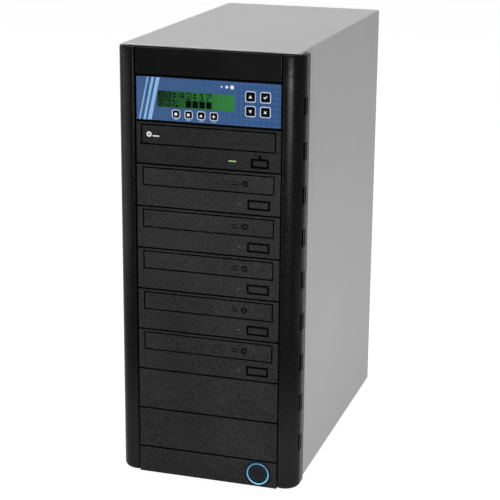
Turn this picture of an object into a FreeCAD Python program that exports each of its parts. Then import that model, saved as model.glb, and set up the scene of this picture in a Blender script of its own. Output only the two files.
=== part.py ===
"""Tower disc duplicator: a sheet-metal case with a moulded front and nine stacked bays.

From the top the bays hold a control panel, one reader drive, five writer drives and two blank covers,
between two rounded, vented pillars.  A header closes the front above and a fascia with the power
button closes it below.  The case is a base pan, a rear panel, two cage walls and a wrap cover.

Frame: millimetres, +Z up, the front faces -Y, the origin is the middle of the footprint on the table.
"""
import FreeCAD, Part
import os

import Sketcher
from FreeCAD import Rotation, Vector

WRITERS = 5
DRIVE_BAYS = 8
BLANK_BAYS = 2
VENT_ROWS = DRIVE_BAYS + 1
BLADES = 7
GRILLE_SLOTS = 14
OVERCUT = 1.0

SIZES = {
    # Case
    "body_depth": 338.0,
    "foot_height": 3.0,
    "foot_radius": 10.0,
    "foot_taper": 1.0,
    "foot_inset": 30.0,
    "steel": 1.0,
    "cover_sheet": 1.0,
    "cover_gap": 0.3,
    "lid_gap": 1.3,
    "lid_setback": 6.0,
    "hem_depth": 8.0,
    "bend_radius": 2.0,
    "hem_edge": 0.9,
    "rear_flange": 12.0,
    "pan_flange": 12.0,
    "sheet_fit": 0.15,
    "wall_depth": 150.0,
    # Front
    "fascia_height": 28.0,
    "panel_height": 45.0,
    "header_height": 26.5,
    "bay_play": 1.7,
    "side_gap": 1.2,
    "bay_gap": 1.4,
    "front_recess": 1.2,
    "trim_recess": 0.6,
    "front_wall": 2.2,
    "front_edge": 0.8,
    # Pillars
    "pillar_width": 19.8,
    "pillar_overhang": 4.5,
    "pillar_depth": 25.0,
    "pillar_wall": 2.5,
    "pillar_corner": 16.0,
    "pillar_room_cut": 9.0,
    "pillar_edge": 1.5,
    "pillar_foot_edge": 5.0,
    "pillar_top_edge": 1.5,
    "vent_height": 17.5,
    "vent_width": 3.0,
    "vent_spacing": 5.0,
    "vent_setback": 9.5,
    # Drives
    "drive_width": 146.0,
    "drive_height": 41.3,
    "drive_gap": 1.4,
    "drive_length": 165.0,
    "drive_wall": 1.0,
    "drive_front_depth": 6.0,
    "door_inset": 7.2,
    "door_height": 16.6,
    "reader_door_inset": 6.2,
    "reader_door_height": 17.9,
    "door_drop": 4.0,
    "door_thickness": 4.0,
    "door_gap": 1.3,
    "door_edge": 0.4,
    "step_depth": 0.35,
    "tray_inset": 9.0,
    "tray_length": 156.0,
    "tray_thickness": 6.0,
    "tray_rise": 5.0,
    "tray_gap": 0.3,
    "tray_corner": 8.0,
    "disc_radius": 60.4,
    "disc_depth": 1.8,
    "small_disc_radius": 40.4,
    "small_disc_depth": 1.0,
    "disc_centre": 65.0,
    "hub_opening": 19.0,
    "sled_opening_width": 34.0,
    "sled_opening_length": 52.0,
    "rail_width": 9.0,
    "rail_lip": 3.0,
    "button_gap": 0.3,
    "button_flange": 1.0,
    "button_edge": 0.3,
    "eject_inset": 21.6,
    "eject_gap": 1.2,
    "eject_flange": 2.2,
    "eject_width": 18.6,
    "eject_height": 5.8,
    "eject_z": 10.1,
    "eject_corner": 0.6,
    "reader_eject_inset": 20.9,
    "reader_eject_width": 13.4,
    "reader_eject_height": 4.9,
    "reader_eject_z": 8.6,
    "reader_eject_corner": 1.4,
    "light_fit": 0.1,
    "light_depth": 4.0,
    "light_inset": 41.0,
    "light_width": 3.0,
    "light_height": 1.4,
    "light_z": 9.8,
    "reader_light_inset": 48.5,
    "reader_light_width": 7.5,
    "reader_light_height": 1.2,
    "reader_light_z": 9.2,
    "pinhole_radius": 0.75,
    "pinhole_x": -16.0,
    "pinhole_z": 10.3,
    "reader_pinhole_inset": 25.0,
    "reader_pinhole_z": 16.6,
    "screw_row_z": 10.0,
    "screw_first": 47.4,
    "screw_spread": 79.2,
    # Control panel
    "film": 0.5,
    "film_margin": 0.8,
    "panel_depth": 10.0,
    "lcd_x": -12.3,
    "lcd_width": 79.0,
    "lcd_height": 16.8,
    "lcd_low": 14.4,
    "lcd_fit": 0.3,
    "lcd_border": 6.0,
    "lcd_key_gap": 5.4,
    "lcd_board": 3.0,
    "key_proud": 0.7,
    "key_corner": 1.2,
    "large_key": 8.4,
    "small_key": 6.2,
    "large_key_inset": 30.7,
    "large_key_pitch_x": 14.8,
    "large_key_z": 16.1,
    "large_key_pitch_z": 14.0,
    "small_key_x": -32.1,
    "small_key_pitch": 12.8,
    "small_key_z": 8.7,
    "key_stroke_room": 0.9,
    "switch_radius": 1.75,
    "board": 1.6,
    "board_fit": 0.3,
    # Power button
    "power_inset": 19.5,
    "power_z": 14.0,
    "ring_radius": 12.0,
    "ring_width": 2.2,
    "ring_depth": 7.0,
    "ring_proud": 0.5,
    "ring_fit": 0.1,
    "cap_gap": 0.3,
    "cap_depth": 9.0,
    "cap_dish": 0.8,
    "cap_edge": 0.8,
    # Power supply and fans
    "psu_width": 150.0,
    "psu_height": 86.0,
    "psu_depth": 140.0,
    "psu_lip": 4.0,
    "fan_size": 80.0,
    "fan_depth": 25.0,
    "fan_bore": 38.0,
    "fan_corner": 3.0,
    "fan_hub": 16.0,
    "fan_hub_plate": 4.0,
    "fan_strut": 4.0,
    "fan_rise": 190.0,
    "psu_fan_x": -30.0,
    "fan_hole_spacing": 71.5,
    "rotor_length": 17.0,
    "rotor_gap": 0.6,
    "rotor_tip": 35.5,
    "blade_root": 13.0,
    "blade_span": 13.0,
    "blade_sweep": 9.0,
    "blade_root_sweep": 4.5,
    "blade_thickness": 1.6,
    "shaft_radius": 1.5,
    "shaft_fit": 0.05,
    "shaft_length": 3.4,
    "slot_inner": 18.5,
    "slot_outer": 36.5,
    "slot_inner_half": 2.4,
    "slot_outer_half": 5.6,
    # Mains inlet and switch
    "inlet_x": 50.0,
    "inlet_width": 28.0,
    "inlet_height": 52.0,
    "inlet_flange": 2.0,
    "inlet_lip": 2.0,
    "inlet_body_depth": 20.0,
    "socket_width": 23.0,
    "socket_height": 16.0,
    "socket_depth": 16.0,
    "socket_drop": 12.5,
    "pin_width": 4.0,
    "pin_thickness": 2.0,
    "pin_length": 13.0,
    "pin_spread": 7.0,
    "pin_offset": 2.2,
    "rocker_rise": 12.0,
    "rocker_width": 12.0,
    "rocker_half": 9.0,
    "rocker_low_lip": 0.4,
    "rocker_high_lip": 3.0,
    "rocker_crest": 1.4,
    "rocker_back": 4.0,
    "rocker_back_half": 3.5,
    "rocker_room": 1.4,
    "rocker_side_gap": 0.3,
    "trunnion_radius": 1.2,
    "trunnion_length": 1.5,
    "trunnion_depth": 1.5,
    # Fasteners
    "screw_head": 4.0,
    "fan_screw_head": 2.0,
    "screw_head_radius": 4.5,
    "screw_radius": 1.75,
    "screw_length": 8.0,
    "screw_edge_z": 40.0,
    "screw_fit": 0.15,
    "drive_screw_radius": 1.5,
    "drive_screw_head_radius": 2.8,
    "drive_screw_head": 1.6,
    "drive_screw_length": 4.5,
}

doc = FreeCAD.newDocument("disc_duplicator")
sheet = doc.addObject("Spreadsheet::Sheet", "Sizes")
for row, (alias, number) in enumerate(SIZES.items(), start=1):
    sheet.set(f"A{row}", alias)
    sheet.set(f"B{row}", str(number))
    sheet.setAlias(f"B{row}", alias)
doc.recompute()


class Size:
    """A length that carries both its number and the spreadsheet formula that gives it."""

    def __init__(self, number, formula):
        self.number = number
        self.formula = formula

    def __float__(self):
        return self.number

    def __add__(self, other):
        other = as_size(other)
        return Size(self.number + other.number, f"({self.formula} + {other.formula})")

    def __sub__(self, other):
        other = as_size(other)
        return Size(self.number - other.number, f"({self.formula} - {other.formula})")

    def __mul__(self, factor):
        return Size(self.number * factor, f"({self.formula} * {factor})")

    def __truediv__(self, factor):
        return Size(self.number / factor, f"({self.formula} / {factor})")

    def __neg__(self):
        return Size(-self.number, f"(-1 * {self.formula})")


def as_size(value):
    """A plain number becomes a length whose formula is the number itself."""
    if isinstance(value, Size):
        return value
    return Size(float(value), str(float(value)))


class Sheet:
    """Gives each aliased cell as a Size, by name."""

    def __getattr__(self, alias):
        return Size(float(sheet.get(alias)), f"Sizes.{alias}")


s = Sheet()

# Levels and planes that several pieces share
half_drive = s.drive_width / 2
half_tray = half_drive - s.tray_inset
half_bay = half_drive + s.bay_play
half_front = half_bay - s.side_gap
power_x = half_front - s.power_inset
half_bezel = half_bay + s.pillar_width
half_cover = half_bezel - s.pillar_overhang
half_chassis = half_cover - s.cover_sheet - s.cover_gap
half_inner = half_chassis - s.steel - s.sheet_fit
front = -(s.body_depth + s.screw_head) / 2
face = front + s.front_recess
trim = front + s.trim_recess
spine = front + s.pillar_depth
rear = front + s.body_depth
panel_back = rear - s.cover_sheet
psu_back = panel_back - s.steel
floor = s.foot_height
bays = floor + s.fascia_height
pitch = s.drive_height + s.drive_gap
door_high = pitch - s.door_drop
tray_low = door_high - s.door_height + s.tray_rise
panel_low = bays + pitch * DRIVE_BAYS
header_low = panel_low + s.panel_height
top = header_low + s.header_height
lid_low = top + s.lid_gap
lid_high = lid_low + s.cover_sheet
case_front = face + s.drive_front_depth
psu_low = floor + s.steel
fan_z = floor + s.fan_rise
psu_fan_z = psu_low + s.psu_height / 2
inlet_z = psu_low + s.psu_height / 2


def bay(index):
    """Bottom of a drive bay, counted from the lowest."""
    return bays + pitch * index


subparts = {}


def keep(name, thing):
    """Names a finished sub-part."""
    thing.Label = name
    subparts[name] = thing
    return thing


def bind(thing, prop, size):
    """Ties a property to the sheet."""
    thing.setExpression(prop, as_size(size).formula)


def place(thing, x, y, z):
    """Ties a placement to the sheet."""
    bind(thing, "Placement.Base.x", x)
    bind(thing, "Placement.Base.y", y)
    bind(thing, "Placement.Base.z", z)


def block(name, x, y, z):
    """A box between the low and high ends given for each axis."""
    box = doc.addObject("Part::Box", name)
    for prop, (low, high) in zip(("Length", "Width", "Height"), (x, y, z)):
        bind(box, prop, as_size(high) - low)
    place(box, x[0], y[0], z[0])
    return box


TURNS = {"X": Rotation(Vector(0, 1, 0), 90), "Y": Rotation(Vector(1, 0, 0), -90), "Z": Rotation()}


def rod(name, axis, radius, start, length):
    """A cylinder that runs along an axis from a start point."""
    bar = doc.addObject("Part::Cylinder", name)
    bar.Placement = FreeCAD.Placement(Vector(), TURNS[axis])
    bind(bar, "Radius", radius)
    bind(bar, "Height", length)
    place(bar, *start)
    return bar


def joined(name, pieces):
    """One solid from touching or crossing pieces."""
    union = doc.addObject("Part::MultiFuse", name)
    union.Shapes = pieces
    return union


def carved(name, solid, tools):
    """A solid with tools cut away."""
    cut = doc.addObject("Part::Cut", name)
    cut.Base = solid
    cut.Tool = tools[0] if len(tools) == 1 else joined(name + "_tools", tools)
    return cut


def grouped(name, pieces):
    """Separate solids kept in one node."""
    group = doc.addObject("Part::Compound", name)
    group.Links = pieces
    return group


def rounded(name, solid, radius, pick):
    """A solid with the picked edges rounded."""
    doc.recompute()
    box = solid.Shape.BoundBox
    chosen = [i for i, edge in enumerate(solid.Shape.Edges, start=1) if pick(edge, box)]
    soft = doc.addObject("Part::Fillet", name)
    soft.Base = solid
    soft.Edges = [(i, float(radius), float(radius)) for i in chosen]
    return soft


def in_plane(edge, axis, value):
    """Whether an edge lies in the plane where one coordinate has a value."""
    return all(abs(getattr(v.Point, axis) - float(value)) < 1e-4 for v in edge.Vertexes)


def along(edge, axis):
    """Whether an edge is a straight line along an axis."""
    if not isinstance(edge.Curve, (Part.Line, Part.LineSegment)):
        return False
    run = edge.Vertexes[-1].Point - edge.Vertexes[0].Point
    return abs(abs(getattr(run, axis)) - run.Length) < 1e-6


def at_front(edge, box):
    return in_plane(edge, "y", box.YMin)


def depthwise(edge, box):
    return along(edge, "y")


# Sketched bodies
PLANE_SIDE = {"XY_Plane": 1, "XZ_Plane": -1, "YZ_Plane": 1}


def new_body(name):
    return keep(name, doc.addObject("PartDesign::Body", name))


def sketch(body, name, plane, height, outlines, at=(0, 0)):
    """Closed outlines on a plane: corner lists, or a circle as (u, v, radius)."""
    drawing = body.newObject("Sketcher::SketchObject", name)
    support = next(f for f in body.Origin.OriginFeatures if f.Role == plane)
    drawing.AttachmentSupport = [(support, "")]
    drawing.MapMode = "FlatFace"
    bind(drawing, "AttachmentOffset.Base.x", at[0])
    bind(drawing, "AttachmentOffset.Base.y", at[1])
    bind(drawing, "AttachmentOffset.Base.z", as_size(height) * PLANE_SIDE[plane])
    for outline in outlines:
        if isinstance(outline, tuple):
            draw_circle(drawing, *outline)
        else:
            draw_corners(drawing, outline)
    return drawing


def pin_point(drawing, geometry, point, corner):
    """Fixes a sketch point by its two distances from the origin."""
    for kind, value in zip(("DistanceX", "DistanceY"), corner):
        value = as_size(value)
        index = drawing.addConstraint(Sketcher.Constraint(kind, -1, 1, geometry, point, value.number))
        drawing.setExpression(f"Constraints[{index}]", value.formula)


def draw_corners(drawing, corners):
    """A closed run of straight lines."""
    first = drawing.GeometryCount
    points = [Vector(float(u), float(v), 0) for u, v in corners]
    lines = [Part.LineSegment(a, b) for a, b in zip(points, points[1:] + points[:1])]
    drawing.addGeometry(lines, False)
    for i, corner in enumerate(corners):
        following = first + (i + 1) % len(corners)
        drawing.addConstraint(Sketcher.Constraint("Coincident", first + i, 2, following, 1))
        pin_point(drawing, first + i, 1, corner)


def draw_circle(drawing, u, v, radius):
    radius = as_size(radius)
    ring = drawing.addGeometry(Part.Circle(Vector(float(u), float(v), 0), Vector(0, 0, 1), radius.number))
    pin_point(drawing, ring, 3, (u, v))
    index = drawing.addConstraint(Sketcher.Constraint("Radius", ring, radius.number))
    drawing.setExpression(f"Constraints[{index}]", radius.formula)


def rectangle(u, v):
    """Corner list of a rectangle between the low and high ends of both directions."""
    return [(u[0], v[0]), (u[1], v[0]), (u[1], v[1]), (u[0], v[1])]


def pad(body, name, plane, low, high, outlines):
    """Fills outlines between two heights along the plane's axis."""
    start = high if plane == "XZ_Plane" else low
    feature = body.newObject("PartDesign::Pad", name)
    feature.Profile = sketch(body, name + "_sketch", plane, start, outlines)
    bind(feature, "Length", as_size(high) - low)
    return feature


def pocket(body, name, plane, low, high, outlines, at=(0, 0)):
    """Cuts outlines between two heights and makes sure that something was cut."""
    doc.recompute()
    before = body.Shape.Volume
    start = low if plane == "XZ_Plane" else high
    drawing = sketch(body, name + "_sketch", plane, start, outlines, at)
    feature = body.newObject("PartDesign::Pocket", name)
    feature.Profile = drawing
    bind(feature, "Length", as_size(high) - low)
    doc.recompute()
    if body.Shape.Volume >= before:
        raise RuntimeError(name + " cut nothing")
    return feature


def soften(body, name, radius, pick):
    """Rounds the picked edges of a body."""
    doc.recompute()
    base = body.Tip
    box = base.Shape.BoundBox
    chosen = [f"Edge{i}" for i, edge in enumerate(base.Shape.Edges, start=1) if pick(edge, box)]
    feature = body.newObject("PartDesign::Fillet", name)
    feature.Base = (base, chosen)
    bind(feature, "Radius", radius)
    return feature


def repeat_around(body, name, feature, axis, count):
    """Repeats a feature round an axis."""
    ring = body.newObject("PartDesign::PolarPattern", name)
    ring.Originals = [feature]
    ring.Axis = axis
    ring.Angle = 360
    ring.Occurrences = count
    body.Tip = ring
    return ring


# Case

def make_base_pan():
    """Bottom sheet with two upturned sides."""
    body = new_body("base_pan")
    inner = half_chassis - s.steel
    high = floor + s.pan_flange
    low = floor + s.steel
    outline = [(-half_chassis, floor), (half_chassis, floor), (half_chassis, high), (inner, high),
               (inner, low), (-inner, low), (-inner, high), (-half_chassis, high)]
    pad(body, "pan", "XZ_Plane", spine, panel_back, [outline])


def make_cage_wall(name, side):
    """Upright sheet beside the drives, with a front flange that carries the pillar."""
    body = new_body(name)
    inner = half_drive + s.tray_gap
    outer = inner + s.steel
    back = spine + s.wall_depth
    plan = [(inner, spine), (half_inner, spine), (half_inner, spine + s.steel),
            (outer, spine + s.steel), (outer, back), (inner, back)]
    pad(body, name + "_sheet", "XY_Plane", psu_low, top, [[(u * side, v) for u, v in plan]])
    doc.recompute()
    low, high = (inner, outer) if side > 0 else (-outer, -inner)
    hole = s.drive_screw_radius + s.screw_fit
    rows = [(screw_y(j), bay(k) + s.screw_row_z, hole) for k in drive_bays() for j in range(2)]
    pocket(body, name + "_holes", "YZ_Plane", low - OVERCUT, high + OVERCUT, rows)


def drive_bays():
    """Bay numbers that hold drives, above the blanks."""
    return range(BLANK_BAYS, DRIVE_BAYS)


def screw_y(j):
    """Depth of the front or rear drive screw."""
    return face + s.screw_first + s.screw_spread * j


def fan_screw_points():
    """Corner holes of the exhaust fan."""
    reach = s.fan_hole_spacing / 2
    return [(reach * i, fan_z + reach * j) for i in (-1, 1) for j in (-1, 1)]


def cover_screw_points():
    """Cover screws up both sides of the back."""
    across = half_cover - s.rear_flange / 2
    low = floor + s.screw_edge_z
    rise = (lid_low - floor - s.screw_edge_z * 2) / 2
    return [(across * side, low + rise * step) for side in (-1, 1) for step in range(3)]


def grille(body, name, low, high, centre):
    """A ring of radial slots stamped through a sheet in front of a fan."""
    slot = [(-s.slot_inner_half, s.slot_inner), (s.slot_inner_half, s.slot_inner),
            (s.slot_outer_half, s.slot_outer), (-s.slot_outer_half, s.slot_outer)]
    cut = pocket(body, name, "XZ_Plane", low, high, [slot], centre)
    repeat_around(body, name + "_ring", cut, (cut.Profile[0], ["N_Axis"]), GRILLE_SLOTS)


def make_rear_panel():
    """Back sheet with two forward flanges, a fan grille and the power supply's window."""
    body = new_body("rear_panel")
    inner = half_inner - s.steel
    front_edge = psu_back - s.pan_flange
    plan = [(-half_inner, front_edge), (-inner, front_edge), (-inner, psu_back), (inner, psu_back),
            (inner, front_edge), (half_inner, front_edge), (half_inner, panel_back),
            (-half_inner, panel_back)]
    pad(body, "back_sheet", "XY_Plane", psu_low, lid_low - s.cover_gap, [plan])
    half = s.psu_width / 2 - s.psu_lip
    window = rectangle((-half, half), (psu_low + s.psu_lip, psu_low + s.psu_height - s.psu_lip))
    through = (psu_back - OVERCUT, panel_back + OVERCUT)
    pocket(body, "psu_window", "XZ_Plane", *through, [window])
    hole = s.screw_radius + s.screw_fit
    points = fan_screw_points() + cover_screw_points()
    pocket(body, "screw_holes", "XZ_Plane", *through, [(u, v, hole) for u, v in points])
    grille(body, "fan_slots", *through, (0, fan_z))


def make_wrap_cover():
    """One bent sheet over the top and both sides, with a hemmed front edge and two rear returns."""
    body = new_body("wrap_cover")
    inner = half_cover - s.cover_sheet
    sides = [(-half_cover, floor), (-inner, floor), (-inner, lid_low), (inner, lid_low), (inner, floor),
             (half_cover, floor), (half_cover, lid_high), (-half_cover, lid_high)]
    start = spine + s.cover_gap
    lip = front + s.lid_setback
    pad(body, "wrap", "XZ_Plane", lip + s.bend_radius, rear, [sides])
    soften(body, "bends", s.bend_radius, lambda e, b: along(e, "y") and in_plane(e, "z", b.ZMax))
    beyond = half_cover + OVERCUT
    notch = rectangle((-beyond, beyond), (floor - OVERCUT, lid_high - s.bend_radius))
    pocket(body, "notch", "XZ_Plane", lip, start, [notch])
    relief = half_cover - s.bend_radius
    hem = rectangle((-relief, relief), (lip, lip + s.hem_depth))
    pad(body, "hem", "XY_Plane", lid_low - s.cover_sheet, lid_high, [hem])
    soften(body, "hem_round", s.hem_edge, hem_front)
    for name, low, high in (("left_return", -inner, s.rear_flange - half_cover),
                            ("right_return", half_cover - s.rear_flange, inner)):
        edge = rectangle((low, high), (floor, lid_low))
        pad(body, name, "XZ_Plane", panel_back, rear, [edge])
    hole = s.screw_radius + s.screw_fit
    pocket(body, "cover_holes", "XZ_Plane", panel_back - OVERCUT, rear + OVERCUT,
           [(u, v, hole) for u, v in cover_screw_points()])


def hem_front(edge, box):
    """Long front edges of the hem, above and below."""
    return at_front(edge, box) and along(edge, "x")


def make_feet():
    """Four stuck-on rubber pads."""
    pads = []
    across = half_cover - s.foot_inset
    for y in (spine + s.foot_inset, rear - s.foot_inset):
        for x in (-across, across):
            foot = doc.addObject("Part::Cone", "foot")
            bind(foot, "Radius1", s.foot_radius - s.foot_taper)
            bind(foot, "Radius2", s.foot_radius)
            bind(foot, "Height", s.foot_height)
            place(foot, x, y, 0)
            pads.append(foot)
    keep("feet", grouped("feet", pads))


# Moulded front

def make_pillar(name, side):
    """Rounded, hollow side moulding with a pair of upright vents beside each bay."""
    body = new_body(name)
    wall = s.pillar_wall

    def mirrored(corners):
        return [(u * side, v) for u, v in corners]

    def upright(side_plane):
        return lambda e, b: along(e, "z") and in_plane(e, "y", front) and in_plane(e, "x", side_plane * side)

    def end(level):
        return lambda e, b: in_plane(e, "z", level) and in_plane(e, "y", front)

    plan = rectangle((half_bay, half_bezel), (front, spine))
    pad(body, name + "_block", "XY_Plane", floor, top, [mirrored(plan)])
    soften(body, name + "_corner", s.pillar_corner, upright(half_bezel))
    soften(body, name + "_foot", s.pillar_foot_edge, end(floor))
    soften(body, name + "_top", s.pillar_top_edge, end(top))
    soften(body, name + "_edge", s.pillar_edge, upright(half_bay))
    cut = wall + s.pillar_room_cut
    hollow = [(half_bay + wall, front + wall), (half_bezel - cut, front + wall),
              (half_bezel - wall, front + cut), (half_bezel - wall, spine - wall),
              (half_chassis, spine - wall), (half_chassis, spine + OVERCUT),
              (half_bay + wall, spine + OVERCUT)]
    low = floor + s.pillar_foot_edge
    pocket(body, name + "_hollow", "XY_Plane", low, top - wall, [mirrored(hollow)])
    depth = (half_bezel - s.pillar_corner, half_bezel + OVERCUT)
    span = depth if side > 0 else (-depth[1], -depth[0])
    slots = [vent(k, j) for k in range(VENT_ROWS) for j in range(2)]
    pocket(body, name + "_vents", "YZ_Plane", *span, slots)


def vent(k, j):
    """One upright vent, centred on its bay."""
    middle = bay(k) + pitch / 2 if k < DRIVE_BAYS else panel_low + s.panel_height / 2
    y = front + s.vent_setback + s.vent_spacing * j
    return rectangle((y, y + s.vent_width), (middle - s.vent_height / 2, middle + s.vent_height / 2))


def front_shell(name, plane, depth, low, high):
    """A moulded front: a plate with rounded edges and a rim behind it."""
    solid = block(name + "_blank", (-half_front, half_front), (plane, plane + depth), (low, high))
    soft = rounded(name + "_soft", solid, s.front_edge, at_front)
    inner = half_front - s.front_wall
    behind = (plane + s.front_wall, plane + depth + OVERCUT)
    hollow = block(name + "_hollow", (-inner, inner), behind, (low + s.front_wall, high - s.front_wall))
    return carved(name, soft, [hollow])


def make_trim():
    """Header, fascia and two blank covers, whose rims rest on the cage walls."""
    margin = s.bay_gap / 2
    reach = spine - trim
    keep("header_cover", front_shell("header_cover", trim, reach, header_low + margin, top))
    for k, name in enumerate(("blank_cover_lower", "blank_cover_upper")):
        keep(name, front_shell(name, face, spine - face, bay(k) + margin, bay(k + 1) - margin))
    shell = front_shell("fascia_shell", trim, reach, floor, bays - margin)
    bore = s.ring_radius + s.ring_fit
    depth = s.ring_depth + OVERCUT * 2
    hole = rod("ring_hole", "Y", bore, (power_x, trim - OVERCUT, power_level()), depth)
    keep("base_fascia", carved("base_fascia", shell, [hole]))


def power_level():
    return floor + s.power_z


def turned(name, profile, centre):
    """A body turned about its own Y axis from a profile of (radius, depth) corners."""
    body = new_body(name)
    place(body, centre[0], centre[1], centre[2])
    feature = body.newObject("PartDesign::Revolution", name + "_turn")
    feature.Profile = sketch(body, name + "_profile", "XY_Plane", 0, [profile])
    feature.ReferenceAxis = (feature.Profile[0], ["V_Axis"])
    feature.Angle = 360
    return body


def make_power_button():
    """Light ring in the fascia and the dished cap that slides in it."""
    centre = (power_x, trim, power_level())
    inner = s.ring_radius - s.ring_width
    ring = [(inner, -s.ring_proud), (s.ring_radius, -s.ring_proud), (s.ring_radius, s.ring_depth),
            (inner, s.ring_depth)]
    body = turned("power_ring", ring, centre)
    soften(body, "ring_round", s.cap_edge, lambda e, b: in_plane(e, "y", b.YMin))
    radius = inner - s.cap_gap
    cap = [(0, s.cap_dish), (radius - s.cap_edge * 2, 0), (radius, 0), (radius, s.cap_depth),
           (0, s.cap_depth)]
    body = turned("power_button", cap, centre)
    soften(body, "cap_round", s.cap_edge, cap_rim)


def cap_rim(edge, box):
    """Outer front edge of the cap."""
    return in_plane(edge, "y", box.YMin) and edge.BoundBox.XLength > box.XLength - 1e-3


# Drives

def make_drive(name, k, kind):
    """One drive's front, door, tray, eject button, light and case; kind gives the layout of its front."""
    low = bay(k)
    margin = s.bay_gap / 2
    shell = front_shell(name + "_shell", face, s.drive_front_depth, low + margin, low + pitch - margin)
    through = (face - OVERCUT, face + s.drive_front_depth)
    inset, height = kind["door"]
    half = half_front - inset
    door = (-half, half), (low + door_high - height, low + door_high)
    eject = button_spans(kind["eject"], low)
    light = button_spans(kind["light"], low)
    pin = (kind["pinhole"][0], face - OVERCUT, low + kind["pinhole"][1])
    tools = [opening(name + "_mouth", door, s.door_gap, through),
             opening(name + "_eject_hole", eject, s.eject_gap, through),
             opening(name + "_light_hole", light, s.light_fit, through),
             rod(name + "_pinhole", "Y", s.pinhole_radius, pin, s.drive_front_depth)]
    if kind["stepped"]:
        shallow = (face - OVERCUT, face + s.step_depth)
        tools.append(block(name + "_step", grown(door[0], s.door_gap), shallow, (low, door[1][0])))
    keep(name + "_front", carved(name + "_front", shell, tools))

    plate = block(name + "_door_blank", door[0], (face, face + s.door_thickness), door[1])
    keep(name + "_door", rounded(name + "_door", plate, s.door_edge, at_front))
    make_tray(name + "_tray", low)
    depth = s.front_wall + s.button_gap + s.button_flange
    keep(name + "_eject", push_cap(name + "_eject", eject, face, depth, kind["corner"], s.eject_flange))
    lens = block(name + "_light", light[0], (face, face + s.light_depth), light[1])
    return make_case(name + "_case", low), lens


def button_spans(sizes, low):
    """Left-right and bottom-top ends of a small front piece from its centre and size."""
    x, z, width, height = sizes
    return (x - width / 2, x + width / 2), (low + z - height / 2, low + z + height / 2)


def grown(span, by):
    """A span made longer at both ends."""
    return span[0] - by, span[1] + by


def opening(name, spans, gap, depth):
    """A cutter a little larger all round than the piece that goes through it."""
    return block(name, grown(spans[0], gap), depth, grown(spans[1], gap))


def push_cap(name, spans, plane, depth, corner, reach):
    """A cap with rounded corners and a flange behind the front plate that keeps it in."""
    cap = block(name + "_blank", spans[0], (plane, plane + depth), spans[1])
    soft = rounded(name + "_corners", cap, corner, depthwise)
    soft = rounded(name + "_soft", soft, s.button_edge, at_front)
    thick = (plane + depth - s.button_flange, plane + depth)
    flange = block(name + "_flange", grown(spans[0], reach), thick, grown(spans[1], reach))
    return joined(name, [soft, flange])


def make_tray(name, low):
    """Disc tray: a plate with two stepped disc wells and an opening for the hub and the sled."""
    body = new_body(name)
    start = face + s.door_thickness
    bottom = low + tray_low
    upper = bottom + s.tray_thickness
    centre = start + s.disc_centre
    plan = rectangle((-half_tray, half_tray), (start, start + s.tray_length))
    pad(body, name + "_plate", "XY_Plane", bottom, upper, [plan])
    soften(body, name + "_corners", s.tray_corner, lambda e, b: along(e, "z") and in_plane(e, "y", b.YMax))
    well = upper - s.disc_depth
    pocket(body, name + "_well", "XY_Plane", well, upper, [(0, centre, s.disc_radius)])
    small_disc = (0, centre, s.small_disc_radius)
    pocket(body, name + "_small_well", "XY_Plane", well - s.small_disc_depth, well, [small_disc])
    below = bottom - OVERCUT
    pocket(body, name + "_hub", "XY_Plane", below, upper, [(0, centre, s.hub_opening)])
    sled = s.sled_opening_width / 2
    pocket(body, name + "_sled", "XY_Plane", below, upper,
           [rectangle((-sled, sled), (centre, centre + s.sled_opening_length))])


def make_case(name, low):
    """Drive case: a folded steel box, open in front, with a grooved rail each side for the tray."""
    bottom = low + s.drive_gap / 2
    y = (case_front, case_front + s.drive_length)
    z = (bottom, bottom + s.drive_height)
    wall = s.drive_wall
    box = block(name + "_box", (-half_drive, half_drive), y, z)
    inner = half_drive - wall
    room = block(name + "_room", (-inner, inner), (y[0] - OVERCUT, y[1] - wall), (z[0] + wall, z[1] - wall))
    shell = carved(name + "_shell", box, [room])
    groove = grown((low + tray_low, low + tray_low + s.tray_thickness), s.tray_gap)
    edge = half_tray + s.tray_gap
    rails = []
    for side, span in (("left", (-inner, s.rail_width - inner)), ("right", (inner - s.rail_width, inner))):
        rails.append(block(f"{name}_{side}_rail", span, (y[0], y[1] - wall), grown(groove, s.rail_lip)))
    slot = block(name + "_slot", (-edge, edge), (y[0] - OVERCUT, y[1] - wall), groove)
    runners = carved(name + "_runners", joined(name + "_rails", rails), [slot])
    hole = s.drive_screw_radius + s.screw_fit
    holes = [rod(name + "_hole", "X", hole, (-half_drive - OVERCUT, screw_y(j), low + s.screw_row_z),
                 s.drive_width + OVERCUT * 2) for j in range(2)]
    return carved(name, joined(name + "_body", [shell, runners]), holes)


def make_drives():
    """Reader on top, writers below it."""
    reader = {
        "door": (s.reader_door_inset, s.reader_door_height),
        "eject": (half_front - s.reader_eject_inset, s.reader_eject_z,
                  s.reader_eject_width, s.reader_eject_height),
        "light": (half_front - s.reader_light_inset, s.reader_light_z,
                  s.reader_light_width, s.reader_light_height),
        "pinhole": (half_front - s.reader_pinhole_inset, s.reader_pinhole_z),
        "corner": s.reader_eject_corner,
        "stepped": False,
    }
    writer = {
        "door": (s.door_inset, s.door_height),
        "eject": (half_front - s.eject_inset, s.eject_z, s.eject_width, s.eject_height),
        "light": (half_front - s.light_inset, s.light_z, s.light_width, s.light_height),
        "pinhole": (s.pinhole_x, s.pinhole_z),
        "corner": s.eject_corner,
        "stepped": True,
    }
    made = [make_drive("reader", DRIVE_BAYS - 1, reader)]
    for n in range(1, WRITERS + 1):
        made.append(make_drive(f"writer_{n}", DRIVE_BAYS - 1 - n, writer))
    keep("drive_cases", grouped("drive_cases", [case for case, lens in made]))
    keep("status_lights", grouped("status_lights", [lens for case, lens in made]))


# Control panel

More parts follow.
